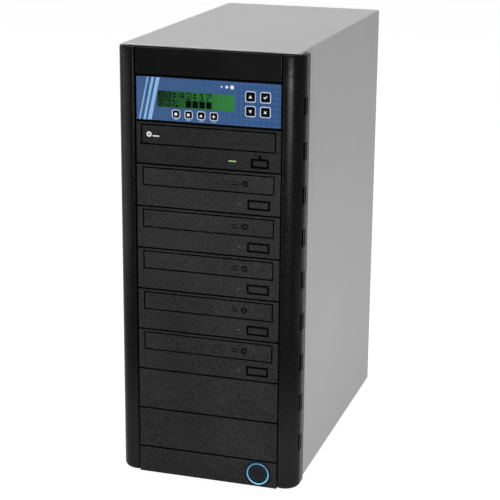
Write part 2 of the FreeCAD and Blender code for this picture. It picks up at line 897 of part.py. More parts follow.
def key_layout():
    """Name, centre and size of each key on the panel."""
    x, z = half_front - s.large_key_inset, s.large_key_z
    step_x, step_z = s.large_key_pitch_x, s.large_key_pitch_z
    keys = [("key_up", x, z + step_z, s.large_key), ("key_down", x, z, s.large_key),
            ("key_enter", x + step_x, z + step_z, s.large_key), ("key_cancel", x + step_x, z, s.large_key)]
    for i, name in enumerate(("key_record", "key_stop", "key_eject", "key_menu")):
        keys.append((name, s.small_key_x + s.small_key_pitch * i, s.small_key_z, s.small_key))
    return keys


def make_control_panel():
    """Panel moulding, printed film, display, keys and the board behind them."""
    margin = s.bay_gap / 2
    low, high = panel_low + margin, header_low - margin
    plate_front = face + s.film
    shell = front_shell("panel_shell", plate_front, s.panel_depth, low, high)
    through = (face - OVERCUT, plate_front + s.front_wall + OVERCUT)
    holes = []
    film_holes = []
    for name, x, z, side in key_layout():
        spans = button_spans((x, z, side, side), panel_low)
        holes.append(opening(name + "_hole", spans, s.button_gap, through))
        film_holes.append(opening(name + "_film_hole", spans, s.button_gap, through))
        depth = s.key_proud + s.film + s.front_wall + s.button_gap + s.button_flange
        keep(name, push_cap(name, spans, face - s.key_proud, depth, s.key_corner, s.button_flange))
    half = s.lcd_width / 2
    glass_x = (s.lcd_x - half, s.lcd_x + half)
    glass_z = (panel_low + s.lcd_low, panel_low + s.lcd_low + s.lcd_height)
    window = opening("lcd_hole", (glass_x, glass_z), s.lcd_fit, through)
    film_holes.append(opening("film_window", (glass_x, glass_z), -s.lcd_fit, through))
    keep("panel_bezel", carved("panel_bezel", shell, holes + [window]))

    edge = half_front - s.film_margin
    film_z = grown((low, high), -s.film_margin)
    film = block("film_blank", (-edge, edge), (face, plate_front), film_z)
    keep("panel_overlay", carved("panel_overlay", film, film_holes))

    plate_back = plate_front + s.front_wall
    glass = block("lcd_glass", glass_x, (plate_front, plate_back + OVERCUT), glass_z)
    key_side = half_front - s.large_key_inset - s.large_key / 2
    frame_x = (glass_x[0] - s.lcd_border, key_side - s.lcd_key_gap)
    frame_z = (glass_z[0] - s.lcd_fit, glass_z[1] + s.lcd_border)
    frame = block("lcd_frame", frame_x, (plate_back, plate_back + s.lcd_board), frame_z)
    keep("lcd_module", joined("lcd_module", [glass, frame]))

    board_y = plate_front + s.panel_depth
    half = half_bay - s.board_fit
    solids = [block("board_plate", (-half, half), (board_y, board_y + s.board), (low, high))]
    rest = plate_back + s.button_gap + s.button_flange + s.key_stroke_room
    for name, x, z, side in key_layout():
        foot = (x, rest, panel_low + z)
        solids.append(rod(name + "_switch", "Y", s.switch_radius, foot, board_y - rest + s.board))
    stand_y = (plate_back + s.lcd_board, board_y + s.board)
    stand_z = (frame_z[1] - s.lcd_border, frame_z[1])
    solids.append(block("lcd_stand", glass_x, stand_y, stand_z))
    keep("controller_board", joined("controller_board", solids))


# Power supply and fans

def make_psu_case():
    """Power supply box, open inside, with a fan grille, a bearing boss and a hole for the mains inlet."""
    body = new_body("psu_case")
    half = s.psu_width / 2
    start = psu_back - s.psu_depth
    high = psu_low + s.psu_height
    pad(body, "psu_box", "XY_Plane", psu_low, high, [rectangle((-half, half), (start, psu_back))])
    inner = half - s.steel
    room = rectangle((-inner, inner), (psu_low + s.steel, high - s.steel))
    pocket(body, "psu_room", "XZ_Plane", start - OVERCUT, psu_back - s.steel, [room])
    boss = (s.psu_fan_x, psu_fan_z, s.fan_hub)
    pad(body, "psu_boss", "XZ_Plane", psu_back - s.fan_hub_plate, psu_back, [boss])
    bore = (s.psu_fan_x, psu_fan_z, s.shaft_radius + s.shaft_fit)
    pocket(body, "psu_bore", "XZ_Plane", psu_back - s.fan_hub_plate - OVERCUT, psu_back - s.steel / 2, [bore])
    wide = s.inlet_width / 2 - s.inlet_lip + s.sheet_fit
    tall = s.inlet_height / 2 - s.inlet_lip + s.sheet_fit
    hole = rectangle((s.inlet_x - wide, s.inlet_x + wide), (inlet_z - tall, inlet_z + tall))
    through = (psu_back - s.steel - OVERCUT, psu_back + OVERCUT)
    pocket(body, "inlet_hole", "XZ_Plane", *through, [hole])
    grille(body, "psu_slots", *through, (s.psu_fan_x, psu_fan_z))


def make_rotor(name, x, z, plane):
    """Fan rotor: a hub with swept blades and a shaft that runs in the hub plate behind it."""
    body = new_body(name)
    body.Placement = FreeCAD.Placement(Vector(), TURNS["Y"])
    place(body, x, plane, z)
    low = -s.rotor_length
    pad(body, name + "_hub", "XY_Plane", low, 0, [(0, 0, s.fan_hub)])
    pad(body, name + "_shaft", "XY_Plane", 0, s.shaft_length, [(0, 0, s.shaft_radius)])
    middle = low / 2
    thick = s.blade_thickness / 2
    rise = s.blade_span / 2

    def section(label, radius, sweep):
        corners = [(sweep - thick, middle - rise), (sweep + thick, middle - rise),
                   (thick - sweep, middle + rise), (-thick - sweep, middle + rise)]
        return sketch(body, name + label, "YZ_Plane", radius, [corners])

    root = section("_root", s.blade_root, s.blade_root_sweep)
    tip = section("_tip", s.rotor_tip, s.blade_sweep)
    blade = body.newObject("PartDesign::AdditiveLoft", name + "_blade")
    blade.Profile = root
    blade.Sections = [tip]
    blade.Ruled = True
    doc.recompute()
    axis = next(f for f in body.Origin.OriginFeatures if f.Role == "Z_Axis")
    repeat_around(body, name + "_blades", blade, (axis, [""]), BLADES)


def make_exhaust_fan():
    """Square fan frame whose struts and hub plate stand at the back, and its rotor."""
    half = s.fan_size / 2
    y = (psu_back - s.fan_depth, psu_back)
    square = block("fan_square", (-half, half), y, (fan_z - half, fan_z + half))
    soft = rounded("fan_soft", square, s.fan_corner, depthwise)
    bore = rod("fan_hole", "Y", s.fan_bore, (0, y[0] - OVERCUT, fan_z), s.fan_depth + OVERCUT * 2)
    holes = [rod("fan_screw_hole", "Y", s.screw_radius + s.screw_fit, (u, y[0] - OVERCUT, v),
                 s.fan_depth + OVERCUT * 2) for u, v in fan_screw_points()]
    ring = carved("fan_ring", soft, [bore] + holes)
    plate = (y[1] - s.fan_hub_plate, y[1])
    arm = s.fan_strut / 2
    reach = s.fan_bore + OVERCUT
    across = block("fan_strut_across", (-reach, reach), plate, (fan_z - arm, fan_z + arm))
    upright = block("fan_strut_upright", (-arm, arm), plate, (fan_z - reach, fan_z + reach))
    hub = rod("fan_hub", "Y", s.fan_hub, (0, plate[0], fan_z), s.fan_hub_plate)
    bearing = rod("fan_bearing", "Y", s.shaft_radius + s.shaft_fit, (0, plate[0] - OVERCUT, fan_z),
                  s.fan_hub_plate + OVERCUT * 2)
    frame = joined("fan_body", [ring, across, upright, hub])
    keep("exhaust_fan_frame", carved("exhaust_fan_frame", frame, [bearing]))


def make_inlet():
    """Mains inlet moulding with three pins and a well for the rocker switch above it."""
    half_x = s.inlet_width / 2
    half_z = s.inlet_height / 2
    x = (s.inlet_x - half_x, s.inlet_x + half_x)
    z = (inlet_z - half_z, inlet_z + half_z)
    flange = block("inlet_flange", x, (psu_back, psu_back + s.inlet_flange), z)
    soft = rounded("inlet_soft", flange, s.button_flange, depthwise)
    core = block("inlet_core", grown(x, -s.inlet_lip), (psu_back - s.inlet_body_depth, psu_back + s.steel),
                 grown(z, -s.inlet_lip))
    back = psu_back + s.inlet_flange
    socket_z = inlet_z - s.socket_drop
    wide = s.socket_width / 2
    tall = s.socket_height / 2
    socket = block("inlet_socket", (s.inlet_x - wide, s.inlet_x + wide),
                   (back - s.socket_depth, back + OVERCUT), (socket_z - tall, socket_z + tall))
    soft_socket = rounded("inlet_socket_soft", socket, s.inlet_lip,
                          lambda e, b: along(e, "y") and in_plane(e, "z", b.ZMax))
    rocker_z = inlet_z + s.rocker_rise
    well_x = s.rocker_width / 2 + s.rocker_side_gap
    well_z = s.rocker_half + s.rocker_room
    well_back = back - s.trunnion_depth - s.rocker_back - s.rocker_room * 2
    well = block("rocker_well", (s.inlet_x - well_x, s.inlet_x + well_x), (well_back, back + OVERCUT),
                 (rocker_z - well_z, rocker_z + well_z))
    reach = s.rocker_width / 2 + s.trunnion_length + s.rocker_side_gap
    pivot = rod("rocker_bore", "X", s.trunnion_radius + s.shaft_fit,
                (s.inlet_x - reach, back - s.trunnion_depth, rocker_z), reach * 2)
    housing = carved("inlet_housing", joined("inlet_body", [soft, core]), [soft_socket, well, pivot])
    pins = []
    for u, v in ((-s.pin_spread, -s.pin_offset), (as_size(0), s.pin_offset), (s.pin_spread, -s.pin_offset)):
        pins.append(block("inlet_pin", grown((s.inlet_x + u, s.inlet_x + u), s.pin_thickness / 2),
                          (back - s.socket_depth - OVERCUT, back - s.socket_depth + s.pin_length),
                          grown((socket_z + v, socket_z + v), s.pin_width / 2)))
    keep("mains_inlet", joined("mains_inlet", [housing] + pins))

    body = new_body("psu_rocker")
    place(body, s.inlet_x, back - s.trunnion_depth, rocker_z)
    lift = s.trunnion_depth
    side = [(lift + s.rocker_low_lip, s.rocker_half), (lift + s.rocker_crest, 0),
            (lift + s.rocker_high_lip, -s.rocker_half), (0, -s.rocker_half),
            (-s.rocker_back, -s.rocker_back_half), (-s.rocker_back, s.rocker_back_half), (0, s.rocker_half)]
    half = s.rocker_width / 2
    pad(body, "rocker_side", "YZ_Plane", -half, half, [side])
    arm = half + s.trunnion_length
    pad(body, "rocker_trunnion", "YZ_Plane", -arm, arm, [(0, 0, s.trunnion_radius)])


# Fasteners

def screw(name, axis, point, way, head, shank):
    """A headed screw: the head stands out from the point and the shank goes in."""
    head_radius, head_length = head
    shank_radius, shank_length = shank
    out = list(point)
    inward = list(point)
    axis_index = "XYZ".index(axis)
    if way > 0:
        inward[axis_index] = inward[axis_index] - shank_length
    else:
        out[axis_index] = out[axis_index] - head_length
    return joined(name, [rod(name + "_head", axis, head_radius, out, head_length),
                         rod(name + "_shank", axis, shank_radius, inward, shank_length)])


def make_screws():
    """Cover and fan screws on the back, and drive screws through the cage walls."""
    head = (s.screw_head_radius, s.screw_head)
    shank = (s.screw_radius, s.screw_length)
    screws = [screw("cover_screw", "Y", (u, rear, v), 1, head, shank) for u, v in cover_screw_points()]
    fan_head = (s.screw_head_radius, s.fan_screw_head)
    screws += [screw("fan_screw", "Y", (u, panel_back, v), 1, fan_head, shank) for u, v in fan_screw_points()]
    keep("cover_screws", grouped("cover_screws", screws))
    outer = half_drive + s.tray_gap + s.steel
    head = (s.drive_screw_head_radius, s.drive_screw_head)
    shank = (s.drive_screw_radius, s.drive_screw_length)
    screws = []
    for k in drive_bays():
        for j in range(2):
            for way in (-1, 1):
                point = (outer * way, screw_y(j), bay(k) + s.screw_row_z)
                screws.append(screw("drive_screw", "X", point, way, head, shank))
    keep("drive_screws", grouped("drive_screws", screws))


def make_all():
    """Builds every sub-part."""
    make_base_pan()
    make_cage_wall("left_cage_wall", -1)
    make_cage_wall("right_cage_wall", 1)
    make_rear_panel()
    make_wrap_cover()
    make_feet()
    make_pillar("left_pillar", -1)
    make_pillar("right_pillar", 1)
    make_trim()
    make_power_button()
    make_drives()
    make_control_panel()
    make_psu_case()
    make_rotor("psu_fan_rotor", s.psu_fan_x, psu_fan_z, psu_back - s.fan_hub_plate - s.rotor_gap)
    make_exhaust_fan()
    make_rotor("exhaust_fan_rotor", as_size(0), fan_z, psu_back - s.fan_hub_plate - s.rotor_gap)
    make_inlet()
    make_screws()
    doc.recompute()


def check_all():
    """Stops before anything is written if an object failed or a shape is not sound."""
    for thing in doc.Objects:
        if "Invalid" in thing.State or "Error" in thing.State:
            raise RuntimeError("failed: " + thing.Label)
    for name, thing in subparts.items():
        if thing.Shape.isNull() or not thing.Shape.isValid() or not thing.Shape.Solids:
            raise RuntimeError("not sound: " + name)


def write_all():
    """Writes one file for each sub-part."""
    os.makedirs("parts", exist_ok=True)
    for name, thing in subparts.items():
        thing.Shape.exportStep(os.path.join("parts", name + ".step"))
    print(len(subparts), "sub-parts")


make_all()
check_all()
write_all()
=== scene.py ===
# %% [markdown]
# # A disc duplicator tower
# A steel case stands behind a black moulded front: a glossy header, a blue control panel, six optical drives,
# two blank covers and a fascia with a lit button, between two rounded pillars.
# The construction model gives every piece its place.  This lesson gives the pieces their finishes, remakes
# those whose curves have to be smooth, and adds what is printed or lit.

import bmesh
import bpy
import numpy as np
from mathutils import Matrix, Vector


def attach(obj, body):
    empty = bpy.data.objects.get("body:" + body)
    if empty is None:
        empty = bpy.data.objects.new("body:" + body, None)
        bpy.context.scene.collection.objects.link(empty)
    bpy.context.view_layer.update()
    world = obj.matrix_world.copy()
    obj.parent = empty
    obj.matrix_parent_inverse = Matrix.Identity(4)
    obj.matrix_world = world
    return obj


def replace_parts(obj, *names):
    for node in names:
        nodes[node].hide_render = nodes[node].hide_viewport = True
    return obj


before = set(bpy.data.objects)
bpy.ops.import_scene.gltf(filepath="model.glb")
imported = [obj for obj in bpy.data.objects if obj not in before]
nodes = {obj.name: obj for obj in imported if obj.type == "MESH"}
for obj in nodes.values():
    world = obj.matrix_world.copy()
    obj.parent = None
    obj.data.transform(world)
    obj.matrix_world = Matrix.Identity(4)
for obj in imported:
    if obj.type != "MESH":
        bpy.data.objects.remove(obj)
scene = bpy.context.scene
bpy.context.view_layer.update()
MM = 0.001
DRIVES = ("reader", "writer_1", "writer_2", "writer_3", "writer_4", "writer_5")
KEYS = ("key_up", "key_down", "key_enter", "key_cancel", "key_record", "key_stop", "key_eject", "key_menu")

# %% [markdown]
# ## The camera
# The picture was taken from a little right of the front and above it, with a long lens.  The camera's place was
# worked out from the edges of the bays and the case.  Its axes are built from an azimuth, an elevation and a
# small roll, and the lens has no shift, so every other view stays centred too.

# %% Camera
PICTURE = 500
FOCAL_PIXELS = 1524
CAMERA_PLACE = (0.463, -1.529, 0.667)
azimuth, elevation, roll = np.radians([17.15, 16.26, 0.5])
back = np.array([np.sin(azimuth) * np.cos(elevation), -np.cos(azimuth) * np.cos(elevation), np.sin(elevation)])
level = np.array([np.cos(azimuth), np.sin(azimuth), 0])
above = np.cross(back, level)
right = level * np.cos(roll) + above * np.sin(roll)
up = above * np.cos(roll) - level * np.sin(roll)
lens = bpy.data.cameras.new("camera")
lens.sensor_width = 36
lens.lens = FOCAL_PIXELS / PICTURE * lens.sensor_width
lens.clip_end = 20
camera = bpy.data.objects.new("camera", lens)
axes = Matrix(np.stack([right, up, back], 1).tolist())
camera.matrix_world = Matrix.LocRotScale(Vector(CAMERA_PLACE), axes, None)
scene.collection.objects.link(camera)
scene.camera = camera
print("lens", round(lens.lens, 1), "mm")

# %% [markdown]
# ## Helpers for finishes
# Colours are written as they look on a screen and turned to linear light once.  One small function adds a
# node, sets its properties and fills or links its sockets, so each finish reads as a short list.

# %% Colour and node helpers
def linear(code):
    """Linear RGBA of an sRGB hex code: c / 12.92 in the darks, else ((c + 0.055) / 1.055) to the power 2.4."""
    c = np.array([int(code[i:i + 2], 16) for i in (1, 3, 5)]) / 255
    c = np.where(c <= 0.04045, c / 12.92, ((c + 0.055) / 1.055) ** 2.4)
    return (*c.tolist(), 1.0)


def add(tree, kind, sockets=(), **settings):
    """Adds a node with its settings, and fills each named socket with a value or links it to an output."""
    node = tree.nodes.new("ShaderNode" + kind)
    for name, value in settings.items():
        setattr(node, name, value)
    for name, value in dict(sockets).items():
        if isinstance(value, bpy.types.NodeSocket):
            tree.links.new(value, node.inputs[name])
        else:
            node.inputs[name].default_value = value
    return node.outputs


def new_finish(name):
    """An empty material, its node tree and the Object coordinates that its patterns read."""
    finish = bpy.data.materials.new(name)
    finish.use_nodes = True
    tree = finish.node_tree
    tree.nodes.clear()
    return finish, tree, add(tree, "TexCoord")["Object"]


def surface(tree, sockets):
    """The shader that all finishes end in, wired to the output."""
    shader = add(tree, "BsdfPrincipled", sockets)["BSDF"]
    add(tree, "OutputMaterial", {"Surface": shader})


def per_mm(size):
    """Texture scale at which one feature of a pattern is about that many millimetres wide."""
    return 1 / (size * MM)


print("node helpers ready")

# %% [markdown]
# ## Moulded black plastics
# The front is ABS.  The pillars and drive fronts come from spark-eroded moulds and have a fine, dull grain; the
# header comes from a polished mould.  The grain is really about 0.2 mm wide, too fine to show at this
# distance, so it is drawn coarser; on the pillars the roughness follows it, so that their highlights sparkle.
# Slow clouds stand for uneven wear.  Light and shade are painted in by place: the walls of the narrow gaps
# between the pieces get hardly any light, so painted shade turns the plastic dark a little way behind the front
# plane, and painted light turns the pillars paler, in patches, near the floor.

# %% Painted shade and light by place
def darker(start, end):
    """Painted shade: a tint that turns a finish black between two depths, in millimetres along y."""
    def tint(tree, place, colour):
        y = add(tree, "SeparateXYZ", {"Vector": place})["Y"]
        deep = add(tree, "MapRange", {"Value": y, "From Min": start * MM, "From Max": end * MM})["Result"]
        return add(tree, "Mix", {"Factor": deep, 6: colour, 7: linear("#040404")}, data_type="RGBA")[2]
    return tint


# Painted light on the pillars: paler below the first height, fully so at the second, in millimetres.
PAINTED_LIGHT_TOP, PAINTED_LIGHT_FULL = 150, 40


def paler_low_painted_light(tree, place, colour):
    """Painted light: a tint that turns a finish paler, in patches, near the floor."""
    z = add(tree, "SeparateXYZ", {"Vector": place})["Z"]
    low = add(tree, "MapRange", {"Value": z, "From Min": PAINTED_LIGHT_TOP * MM, "From Max": PAINTED_LIGHT_FULL * MM},
              interpolation_type="SMOOTHSTEP")["Result"]
    patch = add(tree, "TexNoise", {"Vector": place, "Scale": per_mm(14), "Detail": 4})["Fac"]
    patch = add(tree, "MapRange", {"Value": patch, "From Min": 0.3, "From Max": 0.7, "To Min": 0.75})["Result"]
    share = add(tree, "Math", {0: low, 1: patch}, operation="MULTIPLY")[0]
    return add(tree, "Mix", {"Factor": share, 6: colour, 7: linear("#2a2a2a")}, data_type="RGBA")[2]


# Painted shade on the walls of the gaps between the front pieces.
in_gaps = darker(-169.35, -168.85)
print("tints ready")

# %% Moulded plastic
def moulded(name, dark, light, grain, depth, rough, gloss, spread=0.08, tints=(), sparkle=False):
    """Black moulded plastic: grain makes the bump and part of the colour, clouds vary colour and roughness.

    With sparkle the roughness follows the grain instead of the clouds.
    """
    finish, tree, place = new_finish(name)
    fine = add(tree, "TexNoise", {"Vector": place, "Scale": per_mm(grain), "Detail": 3, "Roughness": 0.65})["Fac"]
    cloud = add(tree, "TexNoise", {"Vector": place, "Scale": per_mm(60), "Detail": 4})["Fac"]
    both = add(tree, "Math", {0: cloud, 1: 0.35, 2: fine}, operation="MULTIPLY_ADD")[0]
    share = add(tree, "MapRange", {"Value": both, "From Min": 0.5, "From Max": 0.86})["Result"]
    colour = add(tree, "Mix", {"Factor": share, 6: linear(dark), 7: linear(light)}, data_type="RGBA")[2]
    for tint in tints:
        colour = tint(tree, place, colour)
    dull = add(tree, "MapRange", {"Value": fine if sparkle else cloud, "From Min": 0.3, "From Max": 0.7,
                                  "To Min": rough - spread, "To Max": rough + spread})["Result"]
    bump = add(tree, "Bump", {"Height": fine, "Strength": 0.35, "Distance": depth * MM})["Normal"]
    surface(tree, {"Base Color": colour, "Roughness": dull, "Normal": bump, "Specular IOR Level": gloss})
    return finish


# The pillars are painted paler near the floor, as painted light.
pillar_abs = moulded("spark_eroded_black_abs", "#050506", "#131314", 2.0, 0.32, 0.24, 0.05, 0.2, tints=[paler_low_painted_light],
                     sparkle=True)
MATT_FRONT = ("#191919", "#353536", 1.9, 0.12, 0.55, 0.06)
front_abs = moulded("matt_black_abs", *MATT_FRONT, tints=[in_gaps])
reader_abs = moulded("matt_black_abs_darker", "#141414", "#2c2c2d", 1.9, 0.12, 0.55, 0.05, tints=[in_gaps])
header_abs = moulded("polished_black_abs", "#050505", "#0b0b0b", 2.5, 0.01, 0.30, 0.045, 0.05)
bezel_abs = moulded("panel_black_abs", "#060606", "#0f0f0f", 1.1, 0.04, 0.5, 0.08)
cap_abs = moulded("key_black_abs", "#020203", "#070708", 0.8, 0.03, 0.38, 0.02)
tray_abs = moulded("tray_dark_grey_abs", "#1c1c1e", "#29292c", 1.2, 0.05, 0.5, 0.3)
fan_pbt = moulded("fan_black_pbt", "#121213", "#1d1d1f", 1.4, 0.04, 0.4, 0.3)
foot_rubber = moulded("foot_black_rubber", "#0f0f0f", "#1c1c1c", 1.6, 0.12, 0.8, 0.25)
print(len(bpy.data.materials), "plastics and rubbers")

# %% [markdown]
# ## Metals
# The wrap cover is steel with a silver-grey powder coat: a soft sheen, an orange-peel skin a few millimetres
# across and a faint flake.  Hands rub it paler along the front hem and the two top bends, which are found by
# their place: a small y, or a large sum of height and half width.  The chassis is bare zinc-plated sheet, whose
# crystals show as pale and dark patches, and the drive cases are the same but dark where the fronts shade them.
# Screws are nickel plated.

# %% Painted, plated and bare metal
HEM_WEAR = (-162.8, -164.6)
BEND_WEAR = (533.5, 535.5)


def powder_coat(name, dark, light, worn):
    """Silver paint: flake speckles the colour, orange peel bends the reflection and the edges are worn in patches."""
    finish, tree, place = new_finish(name)
    flake = add(tree, "TexNoise", {"Vector": place, "Scale": per_mm(0.9), "Detail": 2})["Fac"]
    cloud = add(tree, "TexNoise", {"Vector": place, "Scale": per_mm(120), "Detail": 2})["Fac"]
    mixed = add(tree, "Math", {0: flake, 1: cloud}, operation="ADD")[0]
    share = add(tree, "MapRange", {"Value": mixed, "From Min": 0.7, "From Max": 1.3})["Result"]
    colour = add(tree, "Mix", {"Factor": share, 6: linear(dark), 7: linear(light)}, data_type="RGBA")[2]
    axes = add(tree, "SeparateXYZ", {"Vector": place})
    hem = add(tree, "MapRange", {"Value": axes["Y"], "From Min": HEM_WEAR[0] * MM,
                                 "From Max": HEM_WEAR[1] * MM})["Result"]
    out = add(tree, "Math", {0: axes["X"]}, operation="ABSOLUTE")[0]
    bend = add(tree, "Math", {0: out, 1: axes["Z"]}, operation="ADD")[0]
    bend = add(tree, "MapRange", {"Value": bend, "From Min": BEND_WEAR[0] * MM,
                                  "From Max": BEND_WEAR[1] * MM})["Result"]
    edge = add(tree, "Math", {0: hem, 1: bend}, operation="MAXIMUM")[0]
    rub = add(tree, "TexNoise", {"Vector": place, "Scale": per_mm(25), "Detail": 4})["Fac"]
    rub = add(tree, "MapRange", {"Value": rub, "From Min": 0.35, "From Max": 0.65, "To Max": 0.6})["Result"]
    wear = add(tree, "Math", {0: edge, 1: rub}, operation="MULTIPLY")[0]
    colour = add(tree, "Mix", {"Factor": wear, 6: colour, 7: linear(worn)}, data_type="RGBA")[2]
    peel = add(tree, "TexNoise", {"Vector": place, "Scale": per_mm(2.2), "Detail": 1})["Fac"]
    bump = add(tree, "Bump", {"Height": peel, "Strength": 0.12, "Distance": 0.05 * MM})["Normal"]
    dull = add(tree, "MapRange", {"Value": cloud, "To Min": 0.36, "To Max": 0.48})["Result"]
    surface(tree, {"Base Color": colour, "Metallic": 0.1, "Roughness": dull, "Normal": bump})
    return finish


def zinc_sheet(name, dark, light, crystal, tints=()):
    """Zinc-plated steel: cells of the crystal pattern differ in tone and in roughness."""
    finish, tree, place = new_finish(name)
    cell = add(tree, "TexVoronoi", {"Vector": place, "Scale": per_mm(crystal)})["Color"]
    grey = add(tree, "RGBToBW", {"Color": cell})["Val"]
    colour = add(tree, "Mix", {"Factor": grey, 6: linear(dark), 7: linear(light)}, data_type="RGBA")[2]
    for tint in tints:
        colour = tint(tree, place, colour)
    dull = add(tree, "MapRange", {"Value": grey, "To Min": 0.34, "To Max": 0.5})["Result"]
    scuff = add(tree, "TexNoise", {"Vector": place, "Scale": per_mm(3), "Detail": 4})["Fac"]
    bump = add(tree, "Bump", {"Height": scuff, "Strength": 0.08, "Distance": 0.04 * MM})["Normal"]
    surface(tree, {"Base Color": colour, "Metallic": 1.0, "Roughness": dull, "Normal": bump})
    return finish


silver_coat = powder_coat("silver_grey_powder_coat", "#acacad", "#bababb", "#d2d2d3")
ZINC = ("#94979a", "#aeb1b4", 6)
zinc_steel = zinc_sheet("zinc_plated_sheet_steel", *ZINC)
# Painted shade: the drive cases turn black behind the fronts.
case_steel = zinc_sheet("drive_case_sheet_steel", *ZINC, tints=[darker(-130, -145)])
screw_nickel = zinc_sheet("nickel_plated_screw", "#a8a6a2", "#c6c4c0", 1.5)
print("metals:", silver_coat.name, zinc_steel.name, case_steel.name, screw_nickel.name)

# %% [markdown]
# ## Printed film
# The panel is a polycarbonate film printed from behind in blue.  The print is a plain field that turns paler to
# the right, with a fine square grid that fades in.  The grid is a triangle wave of the height and of the width,
# kept where it is close to zero.

# %% Blue film
film_blue, tree, place = new_finish("blue_printed_polycarbonate")
axes = add(tree, "SeparateXYZ", {"Vector": place})
GRID, LINE = 5.6, 0.42
FILM_HALF, GRID_FADE = 73, 40
waves = [add(tree, "Math", {0: axes[name], 1: GRID / 2 * MM}, operation="PINGPONG")[0] for name in ("X", "Z")]
near = add(tree, "Math", {0: waves[0], 1: waves[1]}, operation="MINIMUM")[0]
lines = add(tree, "Math", {0: near, 1: LINE * MM}, operation="LESS_THAN")[0]
fade = add(tree, "MapRange", {"Value": axes["X"], "From Min": -GRID_FADE * MM, "From Max": GRID_FADE * MM,
                              "To Max": 0.16})["Result"]
grid = add(tree, "Math", {0: lines, 1: fade}, operation="MULTIPLY")[0]
across = add(tree, "MapRange", {"Value": axes["X"], "From Min": -FILM_HALF * MM,
                                "From Max": FILM_HALF * MM})["Result"]
field = add(tree, "Mix", {"Factor": across, 6: linear("#416291"), 7: linear("#265084")}, data_type="RGBA")[2]
print_colour = add(tree, "Mix", {"Factor": grid, 6: field, 7: linear("#6f95c8")}, data_type="RGBA")[2]
grain = add(tree, "TexNoise", {"Vector": place, "Scale": per_mm(0.8), "Detail": 2})["Fac"]
bump = add(tree, "Bump", {"Height": grain, "Strength": 0.08, "Distance": 0.02 * MM})["Normal"]
dull = add(tree, "MapRange", {"Value": grain, "To Min": 0.34, "To Max": 0.46})["Result"]
surface(tree, {"Base Color": print_colour, "Roughness": dull, "Normal": bump, "Specular IOR Level": 0.1})


def ink(name, code, gloss=0.1):
    """Screen-printed ink: nearly flat, a little uneven in tone and roughness."""
    finish, tree, place = new_finish(name)
    patch = add(tree, "TexNoise", {"Vector": place, "Scale": per_mm(1.5), "Detail": 3})["Fac"]
    tone = add(tree, "MapRange", {"Value": patch, "To Min": 0.88, "To Max": 1.08})["Result"]
    colour = add(tree, "HueSaturation", {"Color": linear(code), "Value": tone})["Color"]
    dull = add(tree, "MapRange", {"Value": patch, "To Min": 0.5, "To Max": 0.65})["Result"]
    surface(tree, {"Base Color": colour, "Roughness": dull, "Specular IOR Level": gloss})
    return finish


white_ink = ink("white_screen_ink", "#f2f4f8")
outline_ink = ink("pale_blue_screen_ink", "#d0daf0")
stripe_ink = ink("light_blue_screen_ink", "#96c4f2")
groove_ink = ink("dark_pad_ink", "#080808", 0.04)
# One dull black ink prints the reader's wedge and paints the shade round the eject buttons.
ink_and_painted_shade = ink("dull_black_ink_and_painted_shade", "#060606", 0.0)
print("film and inks made")

# %% [markdown]
# ## Lit pieces
# The display is a green backlit glass with a faint grid of character cells; its light is uneven, stronger to the
# right.  The ring round the power button and the reader's lamp shine by themselves.  The colours of the ring and
# of the button's cap depend on the distance from their centre: the ring is brightest along a thin line, more so
# below than above, and the cap and the fascia catch a little of its blue light.

# %% Display, ring, cap and lamps
GLOW_FROM, GLOW_TO = -50, 20
HALF_CELL, SEAM = 2.15, 0.5
lcd_green, tree, place = new_finish("backlit_green_display_glass")
axes = add(tree, "SeparateXYZ", {"Vector": place})
across = add(tree, "MapRange", {"Value": axes["X"], "From Min": GLOW_FROM * MM, "From Max": GLOW_TO * MM})["Result"]
glow = add(tree, "Mix", {"Factor": across, 6: linear("#0e3015"), 7: linear("#286c33")}, data_type="RGBA")[2]
cells = add(tree, "Math", {0: axes["X"], 1: HALF_CELL * MM}, operation="PINGPONG")[0]
seam = add(tree, "MapRange", {"Value": cells, "From Max": SEAM * MM, "To Min": 0.86, "To Max": 1.0})["Result"]
cloud = add(tree, "TexNoise", {"Vector": place, "Scale": per_mm(20), "Detail": 2})["Fac"]
uneven = add(tree, "MapRange", {"Value": cloud, "To Min": 0.85, "To Max": 1.15})["Result"]
tone = add(tree, "Math", {0: seam, 1: uneven}, operation="MULTIPLY")[0]
colour = add(tree, "HueSaturation", {"Color": glow, "Value": tone})["Color"]
surface(tree, {"Base Color": colour, "Emission Color": colour, "Emission Strength": 0.4, "Roughness": 0.18,
               "Specular IOR Level": 0.12})

lcd_pixel = ink("dark_display_pixels", "#020a05", 0.01)

POWER_X, POWER_Z = 54.0, 17.0
RING_IN, RING_OUT, BRIGHT_LINE = 9.8, 12.0, 11.0
HALO_FROM, HALO_FULL = 15.6, 12.6
LINE_EDGE, LINE_CORE, PALE_FROM = 0.95, 0.35, 8
CAP_BLUE_FROM, CAP_BLUE_FULL = 5.5, 8.5


def from_power_centre(tree, place):
    """Distance of a point from the axis of the power button, in metres, and its height above that axis."""
    local = add(tree, "Mapping", {"Vector": place, "Location": (-POWER_X * MM, 0, -POWER_Z * MM)})["Vector"]
    flat = add(tree, "VectorMath", {0: local, 1: (1, 0, 1)}, operation="MULTIPLY")["Vector"]
    radius = add(tree, "VectorMath", {0: flat}, operation="LENGTH")["Value"]
    return radius, add(tree, "SeparateXYZ", {"Vector": local})["Z"]


def blue_halo(tree, place, colour):
    """A tint that the ring's light gives the plastic close round it."""
    radius, _ = from_power_centre(tree, place)
    near = add(tree, "MapRange", {"Value": radius, "From Min": HALO_FROM * MM, "From Max": HALO_FULL * MM})["Result"]
    return add(tree, "Mix", {"Factor": near, 6: colour, 7: linear("#011c2a")}, data_type="RGBA")[2]


fascia_abs = moulded("matt_black_abs_round_ring", *MATT_FRONT, tints=[in_gaps, blue_halo])

